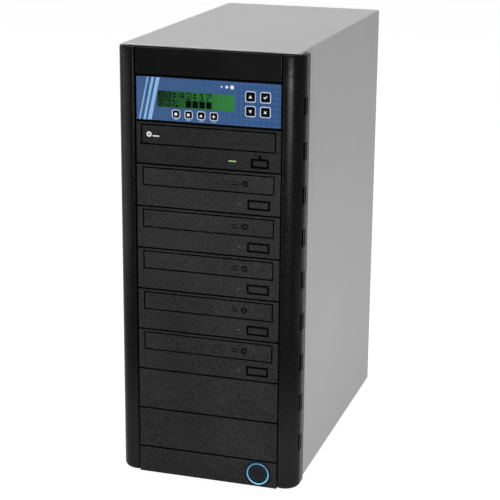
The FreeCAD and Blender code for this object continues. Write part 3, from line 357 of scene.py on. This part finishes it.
ring_light, tree, place = new_finish("light_blue_acrylic_ring")
radius, height = from_power_centre(tree, place)
off = add(tree, "Math", {0: radius, 1: BRIGHT_LINE * MM}, operation="SUBTRACT")[0]
off = add(tree, "Math", {0: off}, operation="ABSOLUTE")[0]
line = add(tree, "MapRange", {"Value": off, "From Min": LINE_EDGE * MM, "From Max": LINE_CORE * MM})["Result"]
cloud = add(tree, "TexNoise", {"Vector": place, "Scale": per_mm(5), "Detail": 1})["Fac"]
low = add(tree, "MapRange", {"Value": height, "From Min": PALE_FROM * MM, "From Max": -BRIGHT_LINE * MM,
                             "To Min": -0.05, "To Max": 0.8})["Result"]
pale = add(tree, "Math", {0: cloud, 1: 0.4, 2: low}, operation="MULTIPLY_ADD", use_clamp=True)[0]
lit = add(tree, "Mix", {"Factor": pale, 6: linear("#4c6a78"), 7: linear("#8fc8e6")}, data_type="RGBA")[2]
colour = add(tree, "Mix", {"Factor": line, 6: linear("#03202c"), 7: lit}, data_type="RGBA")[2]
surface(tree, {"Base Color": colour, "Emission Color": colour, "Emission Strength": 0.5, "Roughness": 0.25,
               "Specular IOR Level": 0.1})

power_cap, tree, place = new_finish("glossy_black_cap_lit_at_rim")
radius, _ = from_power_centre(tree, place)
rim = add(tree, "MapRange", {"Value": radius, "From Min": CAP_BLUE_FROM * MM,
                             "From Max": CAP_BLUE_FULL * MM})["Result"]
speck = add(tree, "TexNoise", {"Vector": place, "Scale": per_mm(1.5), "Detail": 2})["Fac"]
speck = add(tree, "MapRange", {"Value": speck, "To Min": 0.8, "To Max": 1.15})["Result"]
shade = add(tree, "Math", {0: rim, 1: speck}, operation="MULTIPLY", use_clamp=True)[0]
colour = add(tree, "Mix", {"Factor": shade, 6: linear("#1a1213"), 7: linear("#02222e")}, data_type="RGBA")[2]
surface(tree, {"Base Color": colour, "Emission Color": colour, "Emission Strength": 0.3, "Roughness": 0.35,
               "Specular IOR Level": 0.1})

LIT_ABOVE = 335
lamp_lens, tree, place = new_finish("indicator_lens_top_one_lit")
axes = add(tree, "SeparateXYZ", {"Vector": place})
lit = add(tree, "Math", {0: axes["Z"], 1: LIT_ABOVE * MM}, operation="GREATER_THAN")[0]
speck = add(tree, "TexNoise", {"Vector": place, "Scale": per_mm(0.9)})["Fac"]
smoke = add(tree, "Mix", {"Factor": speck, 6: linear("#26262a"), 7: linear("#3a3a3e")}, data_type="RGBA")[2]
shine = add(tree, "Mix", {"Factor": speck, 6: linear("#6c8452"), 7: linear("#aabd90")}, data_type="RGBA")[2]
colour = add(tree, "Mix", {"Factor": lit, 6: smoke, 7: shine}, data_type="RGBA")[2]
strength = add(tree, "Math", {0: lit, 1: 0.4}, operation="MULTIPLY")[0]
surface(tree, {"Base Color": colour, "Emission Color": colour, "Emission Strength": strength, "Roughness": 0.25})
print("lit finishes made")

# %% [markdown]
# ## Inlet, board and switch
# The mains inlet is one moulding with three plated pins.  A box in Object coordinates picks out the pins, because
# nothing else stands inside the socket.  The board behind the panel is green laminate.

# %% Inlet and board
SOCKET_BOX = (("X", 50, 9), ("Y", 158.2, 6.8), ("Z", 34.5, 5.5))  # axis, middle and half size
inlet_nylon, tree, place = new_finish("black_nylon_inlet_with_plated_pins")
axes = add(tree, "SeparateXYZ", {"Vector": place})
inside = [add(tree, "Math", {0: axes[name], 1: middle * MM, 2: half * MM}, operation="COMPARE")[0]
          for name, middle, half in SOCKET_BOX]
pin = add(tree, "Math", {0: add(tree, "Math", {0: inside[0], 1: inside[1]}, operation="MULTIPLY")[0],
                         1: inside[2]}, operation="MULTIPLY")[0]
grain = add(tree, "TexNoise", {"Vector": place, "Scale": per_mm(1.2), "Detail": 2})["Fac"]
nylon = add(tree, "Mix", {"Factor": grain, 6: linear("#121213"), 7: linear("#232325")}, data_type="RGBA")[2]
colour = add(tree, "Mix", {"Factor": pin, 6: nylon, 7: linear("#b9bcc0")}, data_type="RGBA")[2]
bump = add(tree, "Bump", {"Height": grain, "Strength": 0.2, "Distance": 0.05 * MM})["Normal"]
surface(tree, {"Base Color": colour, "Metallic": pin, "Roughness": 0.42, "Normal": bump})

board_green, tree, place = new_finish("green_glass_epoxy_board")
weave = add(tree, "TexNoise", {"Vector": place, "Scale": per_mm(2), "Detail": 3})["Fac"]
colour = add(tree, "Mix", {"Factor": weave, 6: linear("#0e3d20"), 7: linear("#1f6a3a")}, data_type="RGBA")[2]
surface(tree, {"Base Color": colour, "Roughness": 0.4})

rocker_abs = moulded("rocker_black_abs", "#0a0a0b", "#151517", 0.9, 0.03, 0.3, 0.5)


def dress(finish, *names):
    """Gives construction nodes a finish."""
    for name in names:
        nodes[name].material_slots[0].material = finish


dress(silver_coat, "wrap_cover")
dress(zinc_steel, "base_pan", "rear_panel", "left_cage_wall", "right_cage_wall", "psu_case")
dress(case_steel, "drive_cases")
dress(fascia_abs, "base_fascia")
dress(front_abs, "blank_cover_upper", "blank_cover_lower",
      *[d + end for d in DRIVES[1:] for end in ("_front", "_door", "_eject")])
dress(reader_abs, "reader_front", "reader_door", "reader_eject")
dress(header_abs, "header_cover")
dress(bezel_abs, "panel_bezel")
dress(film_blue, "panel_overlay")
dress(lcd_green, "lcd_module")
dress(board_green, "controller_board")
dress(cap_abs, *KEYS)
dress(lamp_lens, "status_lights")
dress(tray_abs, *[d + "_tray" for d in DRIVES])
dress(fan_pbt, "exhaust_fan_frame", "exhaust_fan_rotor", "psu_fan_rotor")
dress(inlet_nylon, "mains_inlet")
dress(rocker_abs, "psu_rocker")
dress(foot_rubber, "feet")
dress(screw_nickel, "cover_screws", "drive_screws")
print("nodes dressed")

# %% [markdown]
# ## Helpers for surfaces
# A new piece is a grid of points, worked out as one array, with a quad for each cell.  The mesh is welded where
# points meet, its faces are turned outwards, and it is placed in the shared frame in metres.

# %% Grid helpers
def grid_faces(rows, cols, wrap=False):
    """Quads of a grid: each point with its neighbours along the row and the next row; wrap closes each row."""
    r, c = np.meshgrid(np.arange(rows - 1), np.arange(cols if wrap else cols - 1), indexing="ij")
    a = r * cols + c
    b = r * cols + (c + 1) % cols
    return np.stack([a, b, b + cols, a + cols], -1).reshape(-1, 4)


def new_piece(name, points, faces, body, finish, sharp=35):
    """A mesh piece from points in millimetres, welded, turned outwards and riding on a body."""
    mesh = bpy.data.meshes.new(name)
    mesh.from_pydata((np.reshape(points, (-1, 3)) * MM).tolist(), [], faces.tolist())
    work = bmesh.new()
    work.from_mesh(mesh)
    bmesh.ops.remove_doubles(work, verts=work.verts, dist=0.001 * MM)
    bmesh.ops.dissolve_degenerate(work, edges=work.edges, dist=0.001 * MM)
    bmesh.ops.recalc_face_normals(work, faces=work.faces)
    work.to_mesh(mesh)
    work.free()
    mesh.materials.append(finish)
    mesh.shade_smooth()
    mesh.set_sharp_from_angle(angle=np.radians(sharp))
    piece = bpy.data.objects.new(name, mesh)
    scene.collection.objects.link(piece)
    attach(piece, body)
    return piece


def turned(name, profile, centre, body, finish, steps=72):
    """A surface of revolution about the Y axis: (radius, depth) corners carried round a full turn."""
    radius, depth = np.array(profile, float).T[:, :, None]
    turn = np.linspace(0, 2 * np.pi, steps, endpoint=False)
    points = np.stack([centre[0] + radius * np.cos(turn), centre[1] + depth + 0 * turn,
                       centre[2] + radius * np.sin(turn)], -1)
    return new_piece(name, points, grid_faces(len(profile), steps, True), body, finish)


INK = 0.04


def printed(name, loops, high, centre, body, finish, slot, lean=0.0):
    """A print on a face: (x, z) loops joined in turn, each lying on the face or standing an ink's height off it.

    centre is the place on the face, and lean is how far the face moves in y for each millimetre up.
    """
    flat = np.array(loops, float)
    y = centre[1] + lean * flat[..., 1] - INK * np.array(high)[:, None]
    points = np.stack([centre[0] + flat[..., 0], y, centre[2] + flat[..., 1]], -1)
    return new_piece(name, points, grid_faces(len(flat), flat.shape[1], True), body, finish)


def solid_print(name, outline, hub, *rest, **more):
    """A filled print: the outline at both heights, closed by fans from a hub inside it."""
    rim = np.array(outline, float)
    middle = np.broadcast_to(np.array(hub, float), rim.shape)
    return printed(name, [middle, rim, rim, middle], (1, 1, 0, 0), *rest, **more)


def frame_print(name, outer, inner, *rest, **more):
    """A print with a hole: outer and inner outlines at both heights, joined into a closed band."""
    return printed(name, [outer, outer, inner, inner, outer], (0, 1, 1, 0, 0), *rest, **more)


print("grid helpers ready")

# %% [markdown]
# ## Pillars
# Each pillar is a hollow moulding with a large rounded outer corner, a rounded foot and a pair of upright vents
# beside every bay.  Its skin is a plan line carried up the height: at the foot and the top the plan moves inwards
# by the amount that a quarter circle gives.  Rows and columns of the grid fall on the edges of the vents, so a
# vent is a few cells left out, and Solidify gives the wall its thickness.

# %% Pillar skins
INNER, OUTER, FRONT, SPINE = 74.7, 94.5, -171.0, -146.0
FLOOR, TOP = 3.0, 444.1
CORNER, EDGE, FOOT_ROUND, TOP_ROUND = 16.0, 1.5, 5.0, 1.5
WALL, BACK_LIP = 2.2, 6.0
VENT_Y = ((-161.5, -158.5), (-156.5, -153.5))
VENT_TALL = 17.5
BAY_LOW, PITCH, PANEL_TALL = 31.0, 42.7, 45.0
vent_mid = np.append(BAY_LOW + PITCH * (np.arange(8) + 0.5), BAY_LOW + PITCH * 8 + PANEL_TALL / 2)


def pillar_plan(inset):
    """Plan points (x, y) for each inset: inner side, small edge arc, front, corner arc, outer side, back lip."""
    inset = np.asarray(inset, float)[:, None]
    edge = np.radians(np.linspace(180, 270, 6))
    cuts = [(y - (FRONT + CORNER)) / CORNER for pair in VENT_Y for y in pair]
    arc = np.sort(np.concatenate([np.linspace(-np.pi / 2, 0, 25), np.arcsin([c for c in cuts if c < 0])]))
    side = np.array([VENT_Y[1][1], SPINE])
    r = CORNER - inset
    x = [INNER + 0 * inset, INNER + EDGE + EDGE * np.cos(edge) + 0 * inset, OUTER - CORNER + r * np.cos(arc),
         OUTER - inset + 0 * side, OUTER - BACK_LIP + 0 * inset]
    y = [SPINE + 0 * inset, FRONT + inset + EDGE + EDGE * np.sin(edge), FRONT + CORNER + r * np.sin(arc),
         side + 0 * inset, SPINE + 0 * inset]
    return np.concatenate(x, 1), np.concatenate(y, 1)


def sharpen_borders(mesh):
    """Marks as sharp each edge that only one face has, so a wall's thickness meets the skin at a crisp edge."""
    edge = np.empty(len(mesh.loops), int)
    mesh.loops.foreach_get("edge_index", edge)
    sharp = np.empty(len(mesh.edges), bool)
    mesh.attributes["sharp_edge"].data.foreach_get("value", sharp)
    sharp |= np.bincount(edge, minlength=len(mesh.edges)) == 1
    mesh.attributes["sharp_edge"].data.foreach_set("value", sharp)


def pillar(name, side):
    """The skin of one pillar; side is 1 on the right and -1 on the left."""
    turn = np.radians(np.linspace(0, 90, 9))
    foot_z = FLOOR + FOOT_ROUND * (1 - np.cos(turn))
    top_z = TOP - TOP_ROUND * (1 - np.cos(turn[::-2]))
    vents = np.sort(np.concatenate([vent_mid - VENT_TALL / 2, vent_mid + VENT_TALL / 2]))
    z = np.concatenate([foot_z[:1], foot_z, vents, top_z, top_z[-1:]])
    inset = np.concatenate([FOOT_ROUND * (1 - np.sin(turn[:1])), FOOT_ROUND * (1 - np.sin(turn)), 0 * vents,
                            TOP_ROUND * (1 - np.sin(turn[::-2])), TOP_ROUND * (1 - np.sin(turn[:1]))])
    x, y = pillar_plan(inset)
    y[[0, -1]] = SPINE
    points = np.stack([side * x, y, z[:, None] + 0 * x], -1)
    faces = grid_faces(*x.shape)
    middle = points.reshape(-1, 3)[faces].mean(1)
    outer = np.abs(middle[:, 0]) > OUTER - CORNER
    in_slot = np.any([(middle[:, 1] > low) & (middle[:, 1] < high) for low, high in VENT_Y], 0)
    in_row = np.any(np.abs(middle[:, 2, None] - vent_mid) < VENT_TALL / 2, 1)
    kept = faces[~(outer & in_slot & in_row)]
    skin = new_piece(name, points, kept, "chassis", pillar_abs, 50)
    sharpen_borders(skin.data)
    wall = skin.modifiers.new("wall", "SOLIDIFY")
    wall.thickness = WALL * MM
    wall.offset = -1
    return skin


for name, side in (("left_pillar", -1), ("right_pillar", 1)):
    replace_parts(pillar(name + "_skin", side), name)
print("pillars:", len(vent_mid), "vent pairs each")

# %% [markdown]
# ## Power button
# A clear ring sits in the fascia round a shallow dished cap.  Both are turned shapes: a profile of radius and
# depth carried round the button's axis, with the edges rounded by a few extra points.

# %% Ring and cap
TRIM = -170.4
RING_DEEP, CROWN = 7, 0.5
CAP_RADIUS, CAP_DEEP, DISH_RADIUS, DISH_DEEP = 9.5, 9, 8, 0.8
centre = (POWER_X, TRIM, POWER_Z)
arc = np.radians(np.linspace(180, 0, 9))
crown = [((RING_OUT + RING_IN) / 2 + (RING_OUT - RING_IN) / 2 * np.cos(a), -CROWN * np.sin(a)) for a in arc]
ring_profile = [(RING_IN, RING_DEEP), *crown, (RING_OUT, RING_DEEP), (RING_IN, RING_DEEP)]
ring = turned("power_ring_crowned", ring_profile, centre, "chassis", ring_light)
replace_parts(ring, "power_ring")
dish = [(r, DISH_DEEP * (1 - (r / DISH_RADIUS) ** 2)) for r in np.linspace(0, DISH_RADIUS - 0.1, 9)]
rim = [(CAP_RADIUS - 0.8, 0.0), (CAP_RADIUS - 0.3, 0.15), (CAP_RADIUS, 0.6)]
cap_profile = [*dish, *rim, (CAP_RADIUS, CAP_DEEP), (0, CAP_DEEP)]
cap = turned("power_button_dished", cap_profile, centre, "power_button", power_cap)
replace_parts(cap, "power_button")
print("power button made")

# %% [markdown]
# ## Prints on the panel
# Pale outlines frame the keys, and each cap carries a plain sign: arrows, a tick, a cross, a dot, a square and a
# plus.  Every print is a plate a few hundredths of a millimetre thick, so it has real edges and never flickers
# against the film.  Three slanted bars at the left are a plain decoration.

# %% Key outlines
FACE = -169.8
PANEL_LOW = BAY_LOW + PITCH * 8
LARGE_KEYS, SMALL_KEYS = KEYS[:4], KEYS[4:]
LARGE_SIZE, LARGE_X, LARGE_Z, LARGE_STEP_X, LARGE_STEP_Z = 8.4, 42.8, 30.1, 14.8, 14.0
SMALL_SIZE, SMALL_X, SMALL_Z, SMALL_STEP = 6.2, -32.1, 8.7, 12.8
key_place = {name: (LARGE_X + LARGE_STEP_X * (i // 2), PANEL_LOW + LARGE_Z - LARGE_STEP_Z * (i % 2), LARGE_SIZE)
             for i, name in enumerate(LARGE_KEYS)}
key_place.update({name: (SMALL_X + SMALL_STEP * i, PANEL_LOW + SMALL_Z, SMALL_SIZE)
                  for i, name in enumerate(SMALL_KEYS)})


def rounded_box(half_x, half_z, corner, steps=6):
    """Outline of a rectangle with rounded corners: a quarter circle round the middle of each corner."""
    turn = np.radians(np.linspace(0, 90, steps))[None, :] + np.radians([0, 90, 180, 270])[:, None]
    side = np.sign(np.stack([np.cos(turn.mean(1)), np.sin(turn.mean(1))], -1))
    middle = side * np.array([half_x - corner, half_z - corner])
    return (middle[:, None] + corner * np.stack([np.cos(turn), np.sin(turn)], -1)).reshape(-1, 2)


def circle(radius, steps=36):
    """Outline of a circle."""
    turn = np.linspace(0, 2 * np.pi, steps, endpoint=False)
    return radius * np.stack([np.cos(turn), np.sin(turn)], -1)


OUTLINE_OUT, OUTLINE_IN = 1.2, 0.32
for name, (x, z, size) in key_place.items():
    outer, inner = size / 2 + OUTLINE_OUT, size / 2 + OUTLINE_IN
    frame_print(name + "_outline", rounded_box(outer, outer, 2.2), rounded_box(inner, inner, 1.4), (x, FACE, z),
                "chassis", outline_ink, "panel_film")
print(len(key_place), "outlines")

# %% Signs on the keys
arrow = np.array([(-1.7, -1.3), (1.7, -1.3), (0, 1.7)])
plus = np.array([(0.5, 0.5), (0.5, 1.8), (-0.5, 1.8), (-0.5, 0.5), (-1.8, 0.5), (-1.8, -0.5),
                 (-0.5, -0.5), (-0.5, -1.8), (0.5, -1.8), (0.5, -0.5), (1.8, -0.5), (1.8, 0.5)])
cross = plus @ np.array([[1, 1], [-1, 1]]) * 0.62
tick = np.array([(-2.2, 0.2), (-1.5, 0.9), (-0.6, 0.0), (1.6, 2.1), (2.3, 1.4), (-0.6, -1.5)]) * 0.9
signs = {"key_up": arrow, "key_down": -arrow, "key_enter": tick, "key_cancel": cross, "key_record": circle(1.6),
         "key_stop": rounded_box(1.35, 1.35, 0.2), "key_eject": arrow * 0.9, "key_menu": plus * 0.85}
CAP_FRONT = FACE - 0.7
TICK_HUB = (-0.55, -0.7)
for name, outline in signs.items():
    x, z, _ = key_place[name]
    hub = TICK_HUB if name == "key_enter" else (0, 0)
    solid_print(name + "_sign", outline, hub, (x, CAP_FRONT, z), name, white_ink, "key_plastic")
print(len(signs), "signs")

# %% Plain decoration of the film
BAR_LEAN, BAR_TALL, BAR_X, BAR_STEP = 9.0, 20.9, -70.5, 4.6
for i, wide in enumerate((1.4, 2.4, 3.8)):
    foot, head = -BAR_LEAN / 2, BAR_LEAN / 2
    bar = np.array([(foot, -BAR_TALL), (foot + wide, -BAR_TALL), (head + wide, BAR_TALL), (head, BAR_TALL)])
    bar_place = (BAR_X + BAR_STEP * i + BAR_LEAN / 2, FACE, PANEL_LOW + PANEL_TALL / 2)
    solid_print(f"panel_bar_{i + 1}", bar, bar.mean(0), bar_place, "chassis", stripe_ink, "panel_film")
DOT_ROW_X, DOT_ROW_STEP, DOT_ROW_Z = 14, 5.2, 38
for i, radius in enumerate((0.9, 1.4, 2.0)):
    dot_place = (DOT_ROW_X + DOT_ROW_STEP * i, FACE, PANEL_LOW + DOT_ROW_Z)
    solid_print(f"panel_dot_{i + 1}", circle(radius, 24), (0, 0), dot_place, "chassis", white_ink, "panel_film")
DASH_DROP = 5.3
for name in SMALL_KEYS:
    x, z, _ = key_place[name]
    solid_print(name + "_dash", rounded_box(2.2, 0.28, 0.2, 3), (0, 0), (x, FACE, z - DASH_DROP), "chassis",
                outline_ink, "panel_film")
print("bars, dots and dashes")

# %% [markdown]
# ## Marks on the drives
# Drive doors carry a small pressed or printed mark.  Here each writer's door has a dark ring and two bars, the
# plain picture of a disc, and the reader's door a white one.  A small dark wedge over the reader's button shows
# which way the tray comes.  The bevel round each button's opening is always in shade and too small to model, so a
# thin dark band stands for it.

# %% Disc marks
bay_low = {name: BAY_LOW + PITCH * (7 - i) for i, name in enumerate(DRIVES)}
bar = rounded_box(3.4, 0.55, 0.3, 3)
READER_MARK, READER_BAR, WEDGE = (-60, 29.8), (-53, 28.4), (52.6, 15.6)
WRITER_MARK, WRITER_BARS = (38, 30.4), (("low", 28, 29.1), ("high", 28, 31.7))


def on_bay(name, x, z):
    """A place on the face of a drive, from its x and its height above the bottom of the bay."""
    return x, FACE, bay_low[name] + z


place_on = on_bay("reader", *READER_MARK)
frame_print("reader_disc_mark", circle(2.7), circle(0.9), place_on, "reader_drawer", white_ink, "front_plastic")
place_on = on_bay("reader", *READER_BAR)
solid_print("reader_mark_bar", bar, (0, 0), place_on, "reader_drawer", white_ink, "front_plastic")
for name in DRIVES[1:]:
    body, place_on = name + "_drawer", on_bay(name, *WRITER_MARK)
    frame_print(name + "_disc_mark", circle(3.4), circle(1.1), place_on, body, groove_ink, "front_plastic")
    for row, x, z in WRITER_BARS:
        place_on = on_bay(name, x, z)
        solid_print(f"{name}_mark_bar_{row}", bar, (0, 0), place_on, body, groove_ink, "front_plastic")
place_on = on_bay("reader", *WEDGE)
solid_print("reader_wedge", arrow * 1.3, (0, 0), place_on, "chassis", ink_and_painted_shade, "front_plastic")
print(len(bay_low), "door marks")

# %% Painted shade round the eject buttons
# x, height in the bay, half width, half height, step behind the face, width of the rim and its outer corner
READER_EJECT = (52.6, 8.6, 7.9, 3.65, 0, 1.3, 1.8)
WRITER_EJECT = (51.9, 10.1, 10.5, 4.1, 0.35, 1.0, 0.7)
# Each rim is painted shade: a dark band where the bevel round the opening stays in shade.
for name in DRIVES:
    x, z, half_x, half_z, step, rim, corner = READER_EJECT if name == "reader" else WRITER_EJECT
    outer, inner = rounded_box(half_x + rim, half_z + rim, corner), rounded_box(half_x, half_z, 0.02)
    place_on = (x, FACE + step, bay_low[name] + z)
    frame_print(name + "_eject_rim_painted_shade", outer, inner, place_on, "chassis", ink_and_painted_shade, "front_plastic")
print(len(DRIVES), "rims")

# %% [markdown]
# ## Display characters
# The display has two rows of characters, each five dots wide and seven high.  Every row of a character is a
# small number whose bits are its dots.  The lit dots are found for the whole text at once and each becomes a
# square tile on the glass.  It shows a time and a bar of progress, in figures only.

# %% Display dots
FONT = {"0": (14, 17, 19, 21, 25, 17, 14), "1": (4, 12, 4, 4, 4, 4, 14), "2": (14, 17, 1, 2, 4, 8, 31),
        "3": (31, 2, 4, 2, 1, 17, 14), "4": (2, 6, 10, 18, 31, 2, 2), "7": (31, 1, 2, 4, 8, 8, 8),
        ":": (0, 12, 12, 0, 12, 12, 0), "%": (24, 25, 2, 4, 8, 19, 3), "#": (31, 31, 31, 31, 31, 31, 31),
        " ": (0, 0, 0, 0, 0, 0, 0)}
TEXT = ("00:42:17", "73% ####")
DOT_X, DOT_Z, DOT_HIGH, DOT_HALF = 1.14, 0.97, 0.03, 0.49
TEXT_X, TEXT_Z, ROW_STEP, GLASS = -49.2, 402.2, 7.7, FACE + 0.5
codes = np.array([[FONT[c] for c in row] for row in TEXT])
lit = (codes[..., None] >> np.arange(4, -1, -1)) & 1
row, column, down, over = np.nonzero(lit)
dot_x = TEXT_X + (column * 6 + over) * DOT_X
dot_z = TEXT_Z - row * ROW_STEP - down * DOT_Z
tile = np.array([(-1, -1), (1, -1), (1, 1), (-1, 1)]) * [DOT_X * DOT_HALF, DOT_Z * DOT_HALF]
front_y = np.full((len(dot_x), 4), GLASS - DOT_HIGH)
fronts = np.stack([dot_x[:, None] + tile[:, 0], front_y, dot_z[:, None] + tile[:, 1]], -1)
stack = np.concatenate([fronts, fronts + [0, DOT_HIGH, 0]], 1)
box = np.array([(0, 1, 2, 3), (7, 6, 5, 4), (0, 4, 5, 1), (1, 5, 6, 2), (2, 6, 7, 3), (3, 7, 4, 0)])
faces = (np.arange(len(dot_x))[:, None, None] * 8 + box).reshape(-1, 4)
new_piece("display_dots", stack, faces, "chassis", lcd_pixel)
print(len(dot_x), "dots")

# %% [markdown]
# ## Screws on the back
# Case screws have a washer, a six-sided head and a cross recess.  The head is a polar grid: the radius of each
# row is blended from a circle to a hexagon, and the top dips where the angle falls in the cross.

# %% Screw heads
RECESS_RADIUS, RECESS_DEEP, ARM_HALF = 2.25, 1.3, 0.9


def screw_heads(name, places, scale):
    """Heads at (x, y, z) places: rows of radius and height, hexagonal in the middle, with a cross in the top."""
    turn = np.linspace(0, 2 * np.pi, 48, endpoint=False)
    hexagon = np.cos(np.pi / 6) / np.cos((turn + np.pi / 6) % (np.pi / 3) - np.pi / 6)
    rows = np.array([(4.5, 0, 0), (4.5, 0.7, 0), (3.7, 0.85, 1), (3.7, 3.3, 1), (3.3, 3.7, 0.7), (2.3, 3.85, 0),
                     (2.2, 3.9, 0), (1.6, 3.9, 0), (0.8, 3.9, 0), (0.0, 3.9, 0)])
    radius, height, six = rows.T[:, :, None]
    reach = radius * (1 - six + six * hexagon)
    arm = np.abs(np.sin(2 * turn)) * radius < ARM_HALF
    deep = np.where((radius < RECESS_RADIUS) & (arm | (radius < ARM_HALF)), RECESS_DEEP, 0)
    shape = np.stack([reach * np.cos(turn), (height - deep) * scale, reach * np.sin(turn)], -1)
    points = np.array(places)[:, None, None] + shape
    one = grid_faces(len(rows), len(turn), True)
    faces = (np.arange(len(places))[:, None, None] * shape[..., 0].size + one).reshape(-1, 4)
    return new_piece(name, points, faces, "chassis", screw_nickel, 30)


REAR, PANEL_BACK, FAN_Z, FAN_HOLE = 167.0, 166.0, 193.0, 35.75
COVER_X, COVER_Z = 84, (43.0, 224.2, 405.4)
cover_places = [(x, REAR, z) for x in (-COVER_X, COVER_X) for z in COVER_Z]
fan_places = [(x, PANEL_BACK, FAN_Z + z) for x in (-FAN_HOLE, FAN_HOLE) for z in (-FAN_HOLE, FAN_HOLE)]
heads = screw_heads("cover_screw_heads", cover_places, 1.0)
fan_heads = screw_heads("fan_screw_heads", fan_places, 0.5)
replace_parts(heads, "cover_screws")
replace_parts(fan_heads, "cover_screws")
print(len(cover_places) + len(fan_places), "screw heads")

# %% [markdown]
# ## Switch marks
# The rocker carries a bar for on and a ring for off.  Its two faces lean, so the marks lean with them.

# %% Bar and ring
ROCKER_X, UPPER_LEAN, LOWER_LEAN = 50.0, -1.0 / 9, -1.6 / 9
UPPER_FACE, LOWER_FACE = (ROCKER_X, 167.9 + INK, 63.5), (ROCKER_X, 169.2 + INK, 54.5)
solid_print("rocker_bar", rounded_box(0.5, 2.2, 0.3, 3), (0, 0), UPPER_FACE, "psu_rocker", white_ink,
            "rocker_plastic", lean=UPPER_LEAN)
frame_print("rocker_ring", circle(2.2), circle(1.5), LOWER_FACE, "psu_rocker", white_ink, "rocker_plastic",
            lean=LOWER_LEAN)
print("switch marked")

# %% [markdown]
# ## Floor, world and lamps
# A pale floor carries a soft shadow.  To the camera and to reflections the floor and the world are nearly white,
# while the light that falls on the object stays at a plain level.  A large soft lamp above lights the top of the
# cover, a weaker one stands to the right, and two in front draw the highlight on the right pillar.  One of these
# and a lamp at the left, which draws the gleam on the left pillar, are only for reflections, because the dull
# fronts between the pillars need less light than their gloss.

# %% Floor and world
def seen_rays(tree):
    """1 for rays from the camera, a reflection or a clear piece, and 0 for those that only carry light."""
    path = add(tree, "LightPath")
    seen = add(tree, "Math", {0: path["Is Camera Ray"], 1: path["Is Glossy Ray"]}, operation="MAXIMUM")[0]
    return add(tree, "Math", {0: seen, 1: path["Is Transmission Ray"]}, operation="MAXIMUM")[0]


REACH = 6.0
corners = [(-REACH, -REACH, 0), (REACH, -REACH, 0), (REACH, REACH, 0), (-REACH, REACH, 0)]
floor_mesh = bpy.data.meshes.new("floor")
floor_mesh.from_pydata(corners, [], [(0, 1, 2, 3)])
floor = bpy.data.objects.new("floor", floor_mesh)
scene.collection.objects.link(floor)
paper, tree, place = new_finish("white_paper_floor")
matt = add(tree, "BsdfDiffuse", {"Color": linear("#c8c8c8")})["BSDF"]
faint = add(tree, "BsdfDiffuse", {"Color": linear("#a0a0a0")})["BSDF"]
white = add(tree, "Emission", {"Color": (1, 1, 1, 1), "Strength": 0.91})["Emission"]
lit_paper = add(tree, "AddShader", {0: faint, 1: white})["Shader"]
both = add(tree, "MixShader", {"Fac": seen_rays(tree), 1: matt, 2: lit_paper})["Shader"]
add(tree, "OutputMaterial", {"Surface": both})
floor_mesh.materials.append(paper)

world = bpy.data.worlds.new("studio")
scene.world = world
world.use_nodes = True
tree = world.node_tree
tree.nodes.clear()
strength = add(tree, "MapRange", {"Value": seen_rays(tree), "To Min": 0.2, "To Max": 1.0})["Result"]
light = add(tree, "Background", {"Color": (1, 1, 1, 1), "Strength": strength})["Background"]
add(tree, "OutputWorld", {"Surface": light})
print("floor and world made")

# %% Lamps
def soft_lamp(name, place, aim, size, power, gloss_only=False):
    """A rectangular lamp that faces a point, unseen by the camera; gloss_only keeps it to reflections."""
    data = bpy.data.lights.new(name, "AREA")
    data.shape = "RECTANGLE"
    data.size, data.size_y = size
    data.energy = power
    lamp = bpy.data.objects.new(name, data)
    lamp.location = place
    lamp.rotation_euler = (Vector(aim) - Vector(place)).to_track_quat("-Z", "Y").to_euler()
    lamp.visible_camera = False
    lamp.visible_diffuse = not gloss_only
    scene.collection.objects.link(lamp)


soft_lamp("top_softbox", (-0.4, -0.2, 2.0), (0, 0, 0.4), (1.6, 1.6), 16.8)
soft_lamp("low_right_strip", (0.42, 0.0, 0.1), (0.09, 0, 0.17), (0.7, 0.1), 0.3)
soft_lamp("front_strip", (0.28, -1.1, 0.32), (0.082, -0.17, 0.42), (0.3, 0.2), 5.0)
soft_lamp("pillar_strip", (0.28, -1.1, 0.29), (0.082, -0.17, 0.42), (0.6, 0.24), 8.2, gloss_only=True)
soft_lamp("left_strip", (-0.7, -0.5, 0.2), (-0.09, -0.16, 0.25), (0.8, 0.5), 4.2, gloss_only=True)
scene.view_settings.view_transform = "Standard"
print("lamps set")
